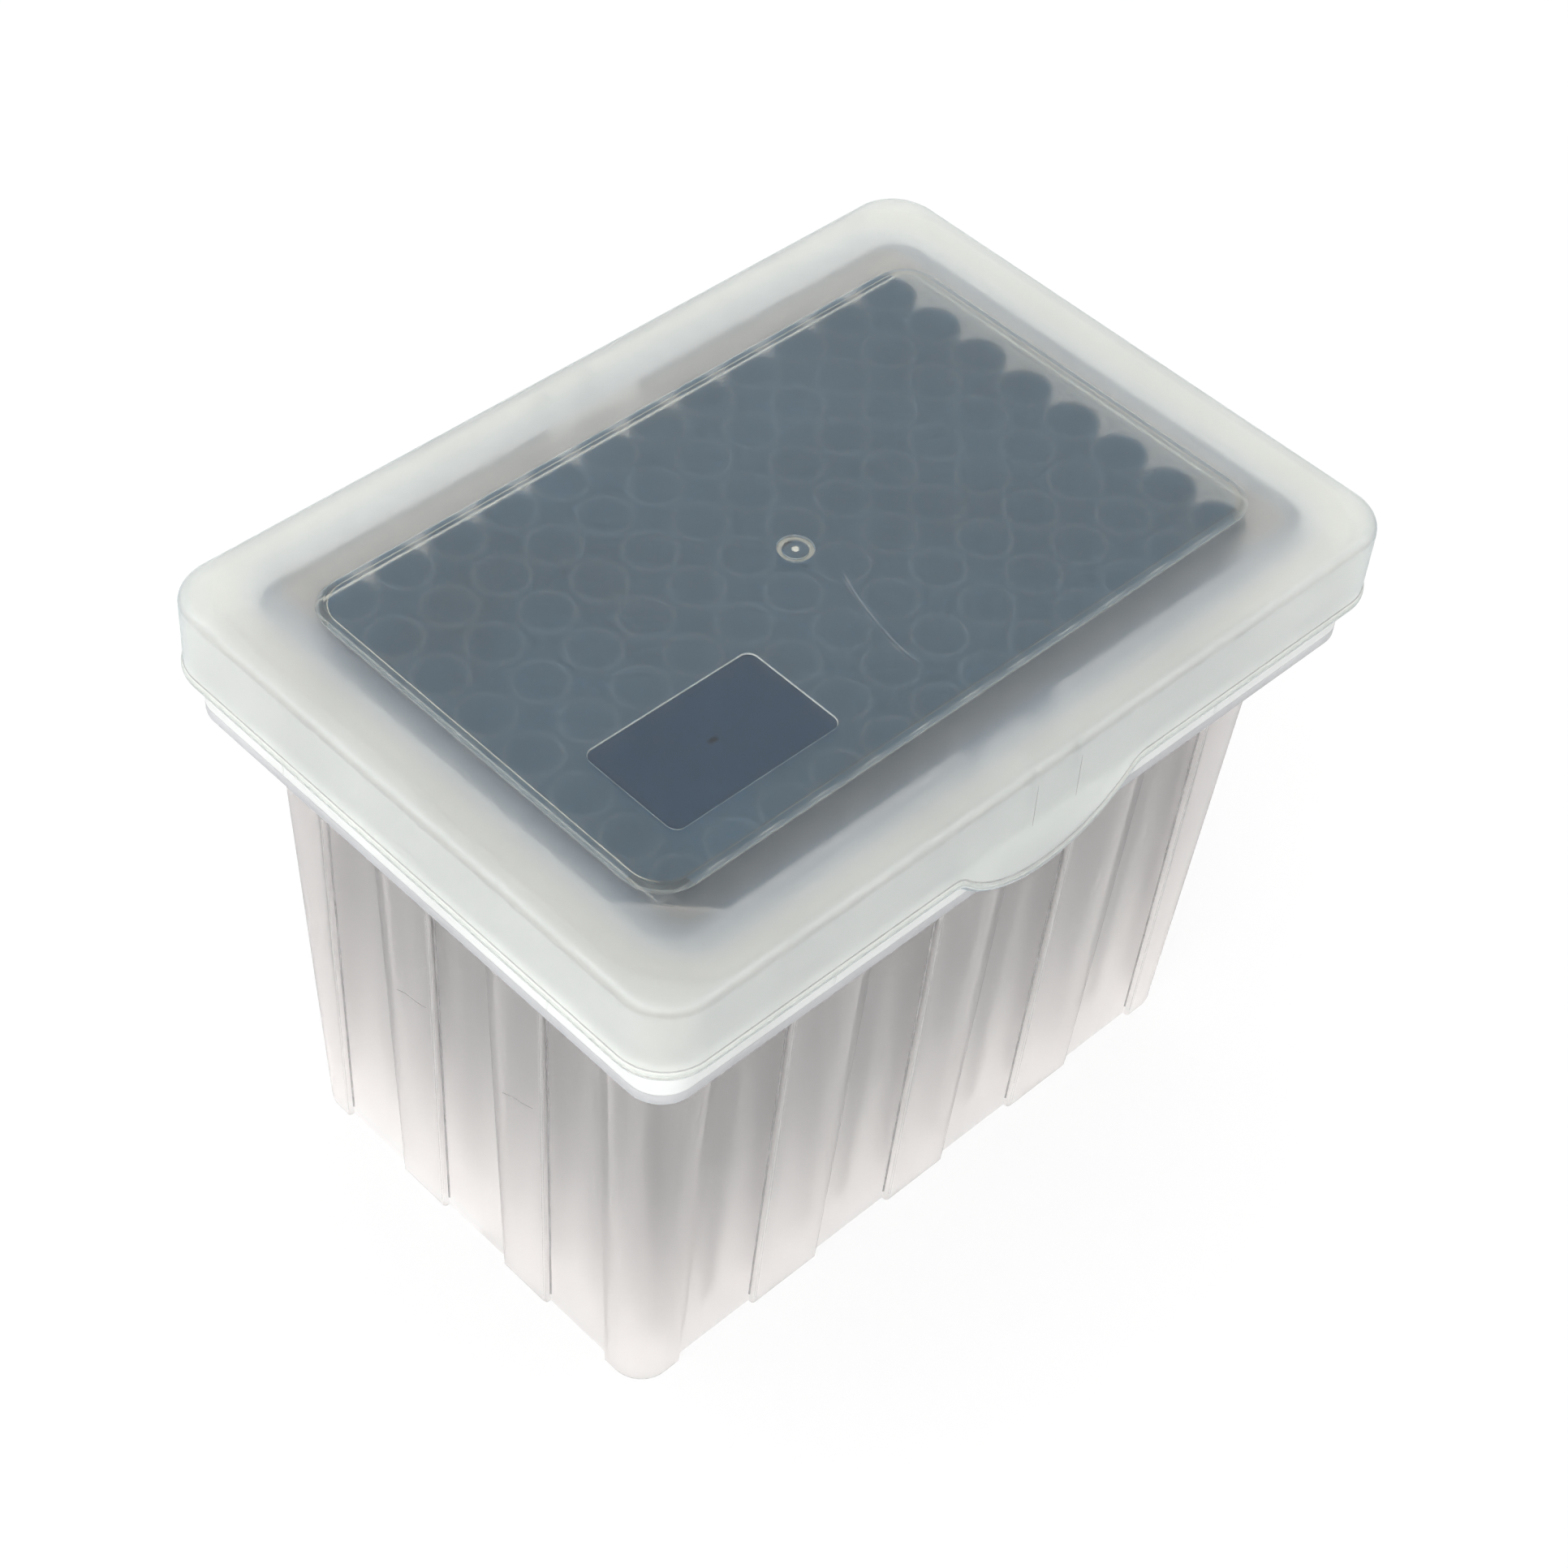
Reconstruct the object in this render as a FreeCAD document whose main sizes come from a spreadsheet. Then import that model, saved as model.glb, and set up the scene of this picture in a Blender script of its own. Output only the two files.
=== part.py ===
# Box of pipette tips: a tall natural polypropylene tub with a lift-off lid, a rack plate
# and 96 long black tips that hang in the plate on a 9 mm grid.
#
# Frame: millimetres, +Z up, X along the twelve columns, Y along the eight rows.
# The origin is the middle of the tub's flat underside. The lid's thumb tab faces -Y.
import FreeCAD, Part
import math
import os
import Sketcher
from FreeCAD import Placement, Rotation, Vector

doc = FreeCAD.newDocument("TipBox")

# ---------------------------------------------------------------- driving dimensions
SIZES = {
    # the grid of tips
    "tip_pitch": 9.0,
    "tip_columns": 12,
    "tip_rows": 8,
    # the tub, outside: how far its underside reaches past the middles of the outer tips
    "end_reach": 6.5,
    "side_reach": 4.5,
    "tub_height": 101.7,
    "tub_slope": 0.04,              # every wall leans out this much for each mm of height
    "tub_wall": 1.2,
    "tub_floor": 1.6,
    "tub_corner": 5.0,
    "foot_round": 1.0,
    # the shallow recesses that corrugate the walls, and the ribs between them
    "recess_depth": 1.2,
    "recess_drop": 5.7,             # from the rim's top down to the top of the recesses
    "rib_round": 0.6,
    "rib_spread": 0.013,            # each side of a rib widens this much for each mm of height
    "long_rib_half": 5.8,
    "long_rib_inner": 20.8,
    "long_rib_outer": 33.4,
    "long_post": 7.7,
    "short_rib_inner": 6.7,
    "short_rib_outer": 15.9,
    "short_post": 7.1,
    # the outward rim with its downturned skirt
    "collar_height": 10.2,          # from the rim's top up to the tub's mouth
    "rim_reach_ends": 6.04,
    "rim_reach_sides": 6.44,
    "rim_depth": 8.9,
    "rim_wall": 1.2,
    "rim_plate": 1.3,
    "rim_corner": 5.3,
    "rim_round": 0.6,
    "rim_lip": 1.8,
    "rim_lip_wall": 0.8,
    "gusset_wall": 1.0,
    "gusset_long": 36.2,
    "gusset_short": 25.9,
    # the spring tongues in the middle of the tub's long walls
    "tongue_half": 4.75,
    "slot_width": 3.85,
    "slot_rise": 0.5,
    "tongue_drop": 2.0,
    "tongue_round": 1.5,
    "barb_gap": 0.3,
    "barb_reach": 1.2,
    "barb_height": 1.6,
    "barb_half": 3.5,
    # the webs across the tub's upper corners
    "web_wall": 1.2,
    "web_gap": 1.1,                 # from a corner tip to the web, added along both X and Y
    # the rack plate, on the ledges that the recesses make inside
    "rack_gap": 0.3,
    "rack_wall": 2.0,
    "rack_corner_gap": 0.4,
    "hole_gap": 0.15,
    # the lid
    "lid_seat_gap": 0.2,
    "lid_gap": 0.8,
    "lid_overlap": 1.4,
    "lid_wall": 1.5,
    "lid_plate": 1.4,
    "lid_corner": 7.4,
    "lid_edge_round": 1.6,
    "panel_inset": 13.3,
    "panel_inset_sides": 15.4,
    "panel_corner": 5.0,
    "panel_rise": 0.5,
    "panel_slope": 1.1,
    "panel_lip": 0.05,
    "label_length": 28.6,
    "label_width": 17.2,
    "label_corner": 1.6,
    "label_depth": 0.25,
    "label_margin_end": 8.3,
    "label_margin_side": 6.0,
    "gate_ring_outer": 2.6,
    "gate_ring_inner": 1.8,
    "gate_depth": 0.4,
    "gate_dish": 0.2,
    "gate_nub": 0.55,
    "gate_nub_rise": 0.15,
    "tab_drop": 8.0,
    "tab_arc": 21.0,
    "tab_blend": 4.0,
    "bead_radius": 1.0,
    "bead_inset": 0.7,              # the bead's middle lies this far inside the lid's face
    "lid_rib_x": 4.1,
    "lid_rib_wall": 0.8,
    "lid_rib_deep": 2.4,
    "lid_rib_shallow": 0.5,
    "lid_rib_drop": 9.5,
    # one tip
    "tip_headroom": 0.5,
    "tip_floor_gap": 4.6,
    "tip_knee_height": 43.8,
    "tip_hub_gap": 0.45,            # from a tip's hub to the middle between two tips
    "tip_shoulder": 0.6,
    "tip_knee_taper": 0.85,
    "tip_nose": 0.75,
    "tip_wall": 0.55,
    "tip_nose_wall": 0.35,
}

# Sizes that follow from the driving ones, as expressions over the sheet.
HALF_LENGTH = "((tip_columns - 1) / 2 * tip_pitch + end_reach)"
HALF_WIDTH = "((tip_rows - 1) / 2 * tip_pitch + side_reach)"
RIM_TOP = "(tub_height - collar_height)"
RIM_BOTTOM = "(%s - rim_depth)" % RIM_TOP
RIM_HALF_LENGTH = "(%s + tub_slope * %s + rim_reach_ends)" % (HALF_LENGTH, RIM_TOP)
RIM_HALF_WIDTH = "(%s + tub_slope * %s + rim_reach_sides)" % (HALF_WIDTH, RIM_TOP)
RECESS_TOP = "(%s - recess_drop)" % RIM_TOP
RACK_BOTTOM = "(%s + tub_wall)" % RECESS_TOP
RACK_TOP = "(%s + rack_wall)" % RACK_BOTTOM
RACK_HALF_LENGTH = "(%s + tub_slope * %s - tub_wall - rack_gap)" % (HALF_LENGTH, RACK_BOTTOM)
RACK_HALF_WIDTH = "(%s + tub_slope * %s - tub_wall - rack_gap)" % (HALF_WIDTH, RACK_BOTTOM)
TIP_HUB = "(tip_pitch / 2 - tip_hub_gap)"
TIP_SHANK = "(%s - tip_shoulder)" % TIP_HUB
TIP_TOP = "(tub_height - tip_headroom)"
TIP_NOSE_Z = "(tub_floor + tip_floor_gap)"
TIP_KNEE_Z = "(%s + tip_knee_height)" % TIP_NOSE_Z
LID_UNDER = "(tub_height + lid_seat_gap)"
LID_TOP = "(%s + lid_plate)" % LID_UNDER
LID_FOOT = "(%s - lid_overlap)" % RIM_TOP
LID_EDGE = "(%s + bead_radius)" % LID_FOOT
LID_HALF_LENGTH = "(%s + lid_gap + lid_wall)" % RIM_HALF_LENGTH
LID_HALF_WIDTH = "(%s + lid_gap + lid_wall)" % RIM_HALF_WIDTH
PANEL_HALF_LENGTH = "(%s - panel_inset)" % LID_HALF_LENGTH
PANEL_HALF_WIDTH = "(%s - panel_inset_sides)" % LID_HALF_WIDTH
PANEL_TOP = "(%s + panel_rise)" % LID_TOP

sheet = doc.addObject("Spreadsheet::Sheet", "Sizes")
for row, (alias, value) in enumerate(SIZES.items(), start=1):
    sheet.set("A%d" % row, alias)
    sheet.set("B%d" % row, str(value))
    sheet.setAlias("B%d" % row, alias)
doc.recompute()


def size(alias):
    """A driving dimension, read back from the sheet."""
    return float(sheet.get(alias))


def cells(expression):
    """Write each alias in an expression as its cell in the sheet."""
    words = []
    word = ""
    for letter in str(expression) + " ":
        if letter.isalnum() or letter in "_.":
            word += letter
            continue
        words.append("Sizes." + word if word in SIZES else word)
        words.append(letter)
        word = ""
    return "".join(words).strip()


def bind(obj, **expressions):
    """Tie properties to expressions. A double underscore stands for a dot in the property."""
    for prop, expression in expressions.items():
        obj.setExpression(prop.replace("__", "."), cells(expression))


def minus(expression):
    """The expression with its sign turned."""
    return "-(%s)" % expression


# ---------------------------------------------------------------- helpers: Part blocks
UPRIGHT = Placement(Vector(0, 0, 0), Rotation(Vector(1, 0, 0), 90))


def drafted_block(name, z_span, x_low, x_high, y_low, y_high):
    """A block whose four sides may lean.

    x_low and y_low are its (from, to) spans at the foot, x_high and y_high those at the top.
    A wedge's own Y axis runs from its foot to its top, so it is turned upright.
    """
    wedge = doc.addObject("Part::Wedge", name)
    bind(wedge, Ymin=z_span[0], Ymax=z_span[1])
    bind(wedge, Xmin=x_low[0], Xmax=x_low[1], X2min=x_high[0], X2max=x_high[1])
    bind(wedge, Zmin=minus(y_low[1]), Zmax=minus(y_low[0]))
    bind(wedge, Z2min=minus(y_high[1]), Z2max=minus(y_high[0]))
    wedge.Placement = UPRIGHT
    return wedge


def straight_block(name, z_span, x_span, y_span):
    """A block with upright sides."""
    return drafted_block(name, z_span, x_span, x_span, y_span, y_span)


def both(expression):
    """The span from minus the expression to plus the expression."""
    return (minus(expression), expression)


def rounded(base, name, choices):
    """Round a block's edges. Each choice is a test on an edge's middle and run, and a radius."""
    doc.recompute()
    picked = []
    for index, edge in enumerate(base.Shape.Edges, start=1):
        ends = edge.Vertexes
        run = (ends[-1].Point - ends[0].Point).normalize()
        for test, radius in choices:
            if test(edge.CenterOfMass, run):
                picked.append((index, radius, radius))
                break
    fillet = doc.addObject("Part::Fillet", name)
    fillet.Base = base
    fillet.Edges = picked
    return fillet


def joined(name, parts):
    """All the parts as one."""
    union = doc.addObject("Part::MultiFuse", name)
    union.Shapes = parts
    union.Refine = True
    return union


def cut(name, base, tool):
    """The base with the tool taken away."""
    result = doc.addObject("Part::Cut", name)
    result.Base = base
    result.Tool = tool
    result.Refine = True
    return result


def shared(name, parts):
    """Only what all the parts share."""
    result = doc.addObject("Part::MultiCommon", name)
    result.Shapes = parts
    result.Refine = True
    return result


def upright_edge(middle, run):
    """True for an edge that runs up."""
    return abs(run.z) > 0.9


# ---------------------------------------------------------------- helpers: bodies
def origin_feature(body, role):
    """The body's own plane or axis with this role."""
    for feature in body.Origin.OriginFeatures:
        if feature.Role == role:
            return feature
    raise ValueError(role)


def new_body(label):
    """An empty body under this label."""
    body = doc.addObject("PartDesign::Body", "Body_" + label)
    body.Label = label
    return body


def new_sketch(body, name, role, lift="0"):
    """A sketch on one of the body's origin planes, lifted off it by an expression."""
    sketch = body.newObject("Sketcher::SketchObject", name)
    sketch.AttachmentSupport = [(origin_feature(body, role), "")]
    sketch.MapMode = "FlatFace"
    sketch.setExpression("AttachmentOffset.Base.z", cells(lift))
    return sketch


def pin(sketch, geometry, point, x, y):
    """Hold one point of a sketch at two expressions measured from its origin."""
    for kind, axis, expression in (("DistanceX", -2, x), ("DistanceY", -1, y)):
        if expression == "0":
            sketch.addConstraint(Sketcher.Constraint("PointOnObject", geometry, point, axis))
            continue
        index = sketch.addConstraint(Sketcher.Constraint(kind, -1, 1, geometry, point, 1.0))
        sketch.setExpression("Constraints[%d]" % index, cells(expression))


def outline(sketch, points):
    """A closed outline of straight lines through points given as pairs of expressions."""
    count = len(points)
    first = sketch.GeometryCount
    for step in range(count):
        start = 2 * math.pi * step / count
        end = 2 * math.pi * (step + 1) / count
        sketch.addGeometry(Part.LineSegment(
            Vector(9 * math.cos(start), 9 * math.sin(start), 0),
            Vector(9 * math.cos(end), 9 * math.sin(end), 0)), False)
    for step in range(count):
        following = first + (step + 1) % count
        sketch.addConstraint(Sketcher.Constraint("Coincident", first + step, 2, following, 1))
    for step, (x, y) in enumerate(points):
        pin(sketch, first + step, 1, x, y)


def rectangle(sketch, x_span, y_span):
    """A rectangle between two spans of expressions."""
    outline(sketch, [(x_span[0], y_span[0]), (x_span[1], y_span[0]),
                     (x_span[1], y_span[1]), (x_span[0], y_span[1])])


def circle(sketch, x, y, radius):
    """A circle with its middle and its radius held by expressions."""
    index = sketch.addGeometry(Part.Circle(Vector(0, 0, 0), Vector(0, 0, 1), 3), False)
    pin(sketch, index, 3, x, y)
    held = sketch.addConstraint(Sketcher.Constraint("Radius", index, 3.0))
    sketch.setExpression("Constraints[%d]" % held, cells(radius))


def pad(body, name, sketch, length, reverse=False):
    """Material added from a sketch."""
    feature = body.newObject("PartDesign::Pad", name)
    feature.Profile = sketch
    feature.Reversed = reverse
    feature.Refine = True
    bind(feature, Length=length)
    return feature


def pocket(body, name, sketch, length, reverse=False):
    """Material taken away from a sketch."""
    feature = body.newObject("PartDesign::Pocket", name)
    feature.Profile = sketch
    feature.Reversed = reverse
    feature.Refine = True
    bind(feature, Length=length)
    return feature


def soften(body, name, base, test, radius):
    """A fillet on the edges of the base that pass the test."""
    doc.recompute()
    names = []
    for index, edge in enumerate(base.Shape.Edges, start=1):
        ends = edge.Vertexes
        run = ends[-1].Point - ends[0].Point
        if run.Length > 0 and test(edge.CenterOfMass, run.normalize()):
            names.append("Edge%d" % index)
    feature = body.newObject("PartDesign::Fillet", name)
    feature.Base = (base, names)
    bind(feature, Radius=radius)
    return feature


# ---------------------------------------------------------------- the tub
def reach(half, inset, height):
    """How far a leaning wall stands from the middle at a height, less an inset."""
    return "(%s - (%s) + tub_slope * (%s))" % (half, inset, height)


def leaning_block(name, inset, foot, top):
    """A block that follows the tub's four leaning walls, inset from them."""
    return drafted_block(
        name, (foot, top),
        both(reach(HALF_LENGTH, inset, foot)), both(reach(HALF_LENGTH, inset, top)),
        both(reach(HALF_WIDTH, inset, foot)), both(reach(HALF_WIDTH, inset, top)))


def rib_span(near, far, inset, height):
    """The span of a rib that widens with height, less an inset on both sides."""
    return ("(%s + %s - rib_spread * (%s))" % (near, inset, height),
            "(%s - %s + rib_spread * (%s))" % (far, inset, height))


def corrugated(name, inset, foot, ledge, top, corner, edge_round):
    """The tub's form: a core behind the recesses, with ribs and corner posts out to its walls.

    With no inset it is the outside. With the wall as inset it is the cavity.
    """
    form = leaning_block(name + "Envelope", inset, foot, top)
    rounds = [(upright_edge, corner)]
    if edge_round:
        rounds.append((lambda middle, run: middle.z < 0.01, size("foot_round")))
    envelope = rounded(form, name + "EnvelopeRounded", rounds)
    parts = [leaning_block(name + "Core", inset + " + recess_depth", foot, ledge),
             leaning_block(name + "Upper", inset, ledge, top)]
    slabs = []
    for side in ("", "-"):
        for rib, near, far in (("LongRib", "long_rib_inner", "long_rib_outer"),
                               ("ShortRib", "short_rib_inner", "short_rib_outer")):
            spans = [rib_span(near, far, inset, height) for height in (foot, ledge)]
            if side == "-":
                spans = [(minus(span[1]), minus(span[0])) for span in spans]
            slabs.append((name + rib + ("Far" if side == "" else "Near"), rib, spans))
    middle = [both("(long_rib_half - %s + rib_spread * (%s))" % (inset, height))
              for height in (foot, ledge)]
    slabs.append((name + "LongRibMiddle", "LongRib", middle))
    for slab_name, rib, spans in slabs:
        if rib == "LongRib":
            slab = drafted_block(slab_name, (foot, ledge), spans[0], spans[1],
                                 both(reach(HALF_WIDTH, inset, foot)),
                                 both(reach(HALF_WIDTH, inset, ledge)))
        else:
            slab = drafted_block(slab_name, (foot, ledge),
                                 both(reach(HALF_LENGTH, inset, foot)),
                                 both(reach(HALF_LENGTH, inset, ledge)), spans[0], spans[1])
        if edge_round:
            slab = rounded(slab, slab_name + "Rounded", [(upright_edge, size("rib_round"))])
        parts.append(slab)
    # the corner posts are what is left of the form when a cross is taken out of it
    spans = []
    for half, post in ((HALF_LENGTH, "long_post"), (HALF_WIDTH, "short_post")):
        spans.append([both("(%s - %s + %s - rib_spread * (%s))" % (half, post, inset, height))
                      for height in (foot, ledge)])
    wide = [both(reach(HALF_LENGTH, "-5", height)) for height in (foot, ledge)]
    deep = [both(reach(HALF_WIDTH, "-5", height)) for height in (foot, ledge)]
    cross = joined(name + "Cross", [
        drafted_block(name + "CrossLong", (foot, ledge), spans[0][0], spans[0][1], deep[0], deep[1]),
        drafted_block(name + "CrossShort", (foot, ledge), wide[0], wide[1], spans[1][0], spans[1][1])])
    posts = cut(name + "Posts", leaning_block(name + "PostForm", inset, foot, ledge), cross)
    parts.append(posts)
    return shared(name, [envelope, joined(name + "Parts", parts)])


def at_top(block):
    """A test for the edges in a block's upper face."""
    doc.recompute()
    top = block.Shape.BoundBox.ZMax
    return lambda middle, run: abs(middle.z - top) < 0.01


outside = corrugated("Outside", "0", "0", RECESS_TOP, "tub_height", size("tub_corner"), True)
cavity = corrugated("Cavity", "tub_wall", "tub_floor", RACK_BOTTOM, "(tub_height + 1)",
                    size("tub_corner") - size("tub_wall"), False)


def rim_block(name, foot, top, inset, corner, top_round=None):
    """An upright block of the rim's plan, less an inset, with rounded corners."""
    block = straight_block(name, (foot, top), both("(%s - %s)" % (RIM_HALF_LENGTH, inset)),
                           both("(%s - %s)" % (RIM_HALF_WIDTH, inset)))
    rounds = [(upright_edge, corner)]
    if top_round:
        rounds.append((at_top(block), top_round))
    return rounded(block, name + "Rounded", rounds)


RIM_UNDER = "(%s - rim_plate)" % RIM_TOP
LIP_TOP = "(%s + rim_lip)" % RIM_BOTTOM
rim_form = rim_block("RimForm", RIM_BOTTOM, RIM_TOP, "0", size("rim_corner"), size("rim_round"))
rim_hollow = joined("RimHollow", [
    rim_block("RimSkirtHollow", "(%s - 1)" % RIM_BOTTOM, RIM_UNDER, "rim_wall",
              size("rim_corner") - size("rim_wall")),
    rim_block("RimLipHollow", "(%s - 1)" % RIM_BOTTOM, LIP_TOP, "rim_lip_wall",
              size("rim_corner") - size("rim_lip_wall"))])
rim = cut("Rim", rim_form, rim_hollow)

# gussets brace the rim's skirt against the wall; each pair is one plate before the cavity is cut
gusset_parts = []
for side in ("", "-"):
    label = "Far" if side == "" else "Near"
    across = ("(%s gusset_long - gusset_wall / 2)" % side, "(%s gusset_long + gusset_wall / 2)" % side)
    along = ("(%s gusset_short - gusset_wall / 2)" % side, "(%s gusset_short + gusset_wall / 2)" % side)
    middle_z = ("%s" % LIP_TOP, "(%s - rim_plate / 2)" % RIM_TOP)
    gusset_parts.append(straight_block("GussetLong" + label, middle_z, across,
                                       both("(%s - rim_wall / 2)" % RIM_HALF_WIDTH)))
    gusset_parts.append(straight_block("GussetShort" + label, middle_z,
                                       both("(%s - rim_wall / 2)" % RIM_HALF_LENGTH), along))

walls = cut("Walls", joined("WallsSolid", [outside, rim] + gusset_parts), cavity)

# flat webs across the four corners of the mouth
web_form = straight_block("WebForm", ("(tub_height - web_wall)", "tub_height"),
                          both(reach(HALF_LENGTH, "tub_wall / 2", "tub_height - web_wall")),
                          both(reach(HALF_WIDTH, "tub_wall / 2", "tub_height - web_wall")))
web_rounded = rounded(web_form, "WebFormRounded", [(upright_edge, size("tub_corner"))])
web_opening = doc.addObject("Part::Prism", "WebOpening")
web_opening.Polygon = 4
WEB_REACH = ("((tip_columns + tip_rows - 2) / 2 * tip_pitch + sqrt(2) * %s + web_gap)" % TIP_HUB)
bind(web_opening, Circumradius=WEB_REACH, Height="(web_wall + 2)",
     Placement__Base__z="(tub_height - web_wall - 1)")
webs = cut("Webs", web_rounded, web_opening)

# barbs on the tongues hold the rack plate down
BARB_FOOT = "(%s + barb_gap)" % RACK_TOP
BARB_TOP = "(%s + barb_height)" % BARB_FOOT
barb_parts = []
for side in ("", "-"):
    root = ["(%s(%s))" % (side, reach(HALF_WIDTH, "tub_wall / 2", height)) for height in (BARB_FOOT, BARB_TOP)]
    nose = ["(%s(%s))" % (side, reach(HALF_WIDTH, "tub_wall + barb_reach", BARB_FOOT)),
            "(%s(%s))" % (side, reach(HALF_WIDTH, "tub_wall + 0.1", BARB_TOP))]
    foot_span = (nose[0], root[0]) if side == "" else (root[0], nose[0])
    top_span = (nose[1], root[1]) if side == "" else (root[1], nose[1])
    barb_parts.append(drafted_block("Barb" + ("Back" if side == "" else "Front"), (BARB_FOOT, BARB_TOP),
                                    both("barb_half"), both("barb_half"), foot_span, top_span))

# slots free the tongues from the walls beside them
SLOT_FOOT = "(%s + slot_rise)" % RIM_TOP
slot_band = straight_block("SlotBand", (SLOT_FOOT, "(tub_height + 1)"), both("(tongue_half + slot_width)"),
                           both("(%s + 1)" % reach(HALF_WIDTH, "0", "tub_height")))
tongue_form = straight_block("TongueForm", ("(%s - 1)" % SLOT_FOOT, "(tub_height - tongue_drop)"),
                             both("tongue_half"),
                             both("(%s + 2)" % reach(HALF_WIDTH, "0", "tub_height")))
tongue_top = at_top(tongue_form)
tongue = rounded(tongue_form, "TongueFormRounded", [
    (lambda middle, run: tongue_top(middle, run) and abs(run.y) > 0.9, size("tongue_round"))])
slots = cut("Slots", slot_band, tongue)

tub = cut("Tub", joined("TubSolid", [walls, webs] + barb_parts), slots)
tub.Label = "tub"


# ---------------------------------------------------------------- the rack plate
rack = new_body("rack_plate")
plate_sketch = new_sketch(rack, "RackOutline", "XY_Plane", RACK_BOTTOM)
rectangle(plate_sketch, both(RACK_HALF_LENGTH), both(RACK_HALF_WIDTH))
plate = pad(rack, "RackPlate", plate_sketch, "rack_wall")
doc.recompute()
corner_names = ["Edge%d" % index for index, edge in enumerate(plate.Shape.Edges, start=1)
                if abs(edge.Vertexes[-1].Z - edge.Vertexes[0].Z) > 0.5]
corners = rack.newObject("PartDesign::Chamfer", "RackCorners")
corners.Base = (plate, corner_names)
bind(corners, Size="(%s + %s - %s + rack_corner_gap)" % (RACK_HALF_LENGTH, RACK_HALF_WIDTH, WEB_REACH))
hole_sketch = new_sketch(rack, "HoleOutline", "XY_Plane", RACK_TOP)
circle(hole_sketch, "-(tip_columns - 1) / 2 * tip_pitch", "-(tip_rows - 1) / 2 * tip_pitch",
       "(%s + hole_gap)" % TIP_SHANK)
hole = pocket(rack, "Hole", hole_sketch, "(rack_wall + 1)")
hole_grid = rack.newObject("PartDesign::MultiTransform", "HoleGrid")
hole_grid.Originals = [hole]
grid_steps = []
for axis, count in (("X_Axis", "tip_columns"), ("Y_Axis", "tip_rows")):
    step = rack.newObject("PartDesign::LinearPattern", "HoleStep" + axis[0])
    step.Direction = (origin_feature(rack, axis), [""])
    bind(step, Length="(%s - 1) * tip_pitch" % count, Occurrences=count)
    grid_steps.append(step)
hole_grid.Transformations = grid_steps
rack.Tip = hole_grid

# ---------------------------------------------------------------- the tips
tip = new_body("tip")
tip_sketch = new_sketch(tip, "TipProfile", "XZ_Plane")
SHANK_BORE = "(%s - tip_wall)" % TIP_SHANK
KNEE = "(%s - tip_knee_taper)" % TIP_SHANK
outline(tip_sketch, [
    ("(tip_nose - tip_nose_wall)", TIP_NOSE_Z),
    ("tip_nose", TIP_NOSE_Z),
    (KNEE, TIP_KNEE_Z),
    (TIP_SHANK, RACK_TOP),
    (TIP_HUB, RACK_TOP),
    (TIP_HUB, TIP_TOP),
    ("(%s - tip_wall)" % TIP_HUB, TIP_TOP),
    (SHANK_BORE, RACK_TOP),
    ("(%s - tip_wall)" % KNEE, TIP_KNEE_Z)])
tip_turned = tip.newObject("PartDesign::Revolution", "TipTurned")
tip_turned.Profile = tip_sketch
tip_turned.ReferenceAxis = (tip_sketch, ["V_Axis"])
tip_turned.Angle = 360.0

columns = []
for column in range(int(size("tip_columns"))):
    row_links = []
    for place in range(int(size("tip_rows"))):
        link = doc.addObject("App::Link", "Tip_%02d_%02d" % (column + 1, place + 1))
        link.LinkedObject = tip
        link.LinkTransform = False
        bind(link, Placement__Base__x="(%d - (tip_columns - 1) / 2) * tip_pitch" % column,
             Placement__Base__y="(%d - (tip_rows - 1) / 2) * tip_pitch" % place)
        row_links.append(link)
    bundle = doc.addObject("Part::Compound", "TipColumn%02d" % (column + 1))
    bundle.Links = row_links
    bundle.Label = "tips_column_%02d" % (column + 1)
    columns.append(bundle)

# ---------------------------------------------------------------- the lid
lid = new_body("lid")
skirt_sketch = new_sketch(lid, "LidOutline", "XY_Plane", LID_EDGE)
rectangle(skirt_sketch, both(LID_HALF_LENGTH), both(LID_HALF_WIDTH))
lid_block = pad(lid, "LidBlock", skirt_sketch, "%s - %s" % (LID_TOP, LID_EDGE))
hollow_sketch = new_sketch(lid, "HollowOutline", "XY_Plane", LID_EDGE)
rectangle(hollow_sketch, both("(%s - lid_wall)" % LID_HALF_LENGTH), both("(%s - lid_wall)" % LID_HALF_WIDTH))
hollow = pocket(lid, "Hollow", hollow_sketch, "%s - %s" % (LID_UNDER, LID_EDGE), reverse=True)
doc.recompute()
lid_far = lid_block.Shape.BoundBox.XMax - 0.01
hollow_corners = soften(
    lid, "HollowCorners", hollow,
    lambda middle, run: upright_edge(middle, run) and abs(middle.x) < lid_far, "(lid_corner - lid_wall)")
lid_corners = soften(
    lid, "LidCorners", hollow_corners,
    lambda middle, run: upright_edge(middle, run) and abs(middle.x) > lid_far, "lid_corner")
lid_edge = soften(lid, "LidEdge", lid_corners,
                  lambda middle, run: middle.z > size("tub_height") + 1, "lid_edge_round")

# the raised panel with its sloping border
panel_sketch = new_sketch(lid, "PanelOutline", "XY_Plane", LID_TOP)
rectangle(panel_sketch, both("(%s + panel_slope)" % PANEL_HALF_LENGTH),
          both("(%s + panel_slope)" % PANEL_HALF_WIDTH))
panel = pad(lid, "Panel", panel_sketch, "panel_rise")
panel_corners = soften(
    lid, "PanelCorners", panel,
    lambda middle, run: upright_edge(middle, run) and middle.z > size("tub_height") + 1.7, "panel_corner")
doc.recompute()
panel_z = panel_corners.Shape.BoundBox.ZMax
rim_names = ["Edge%d" % index for index, edge in enumerate(panel_corners.Shape.Edges, start=1)
             if abs(edge.CenterOfMass.z - panel_z) < 0.001]
panel_border = lid.newObject("PartDesign::Chamfer", "PanelBorder")
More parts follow.
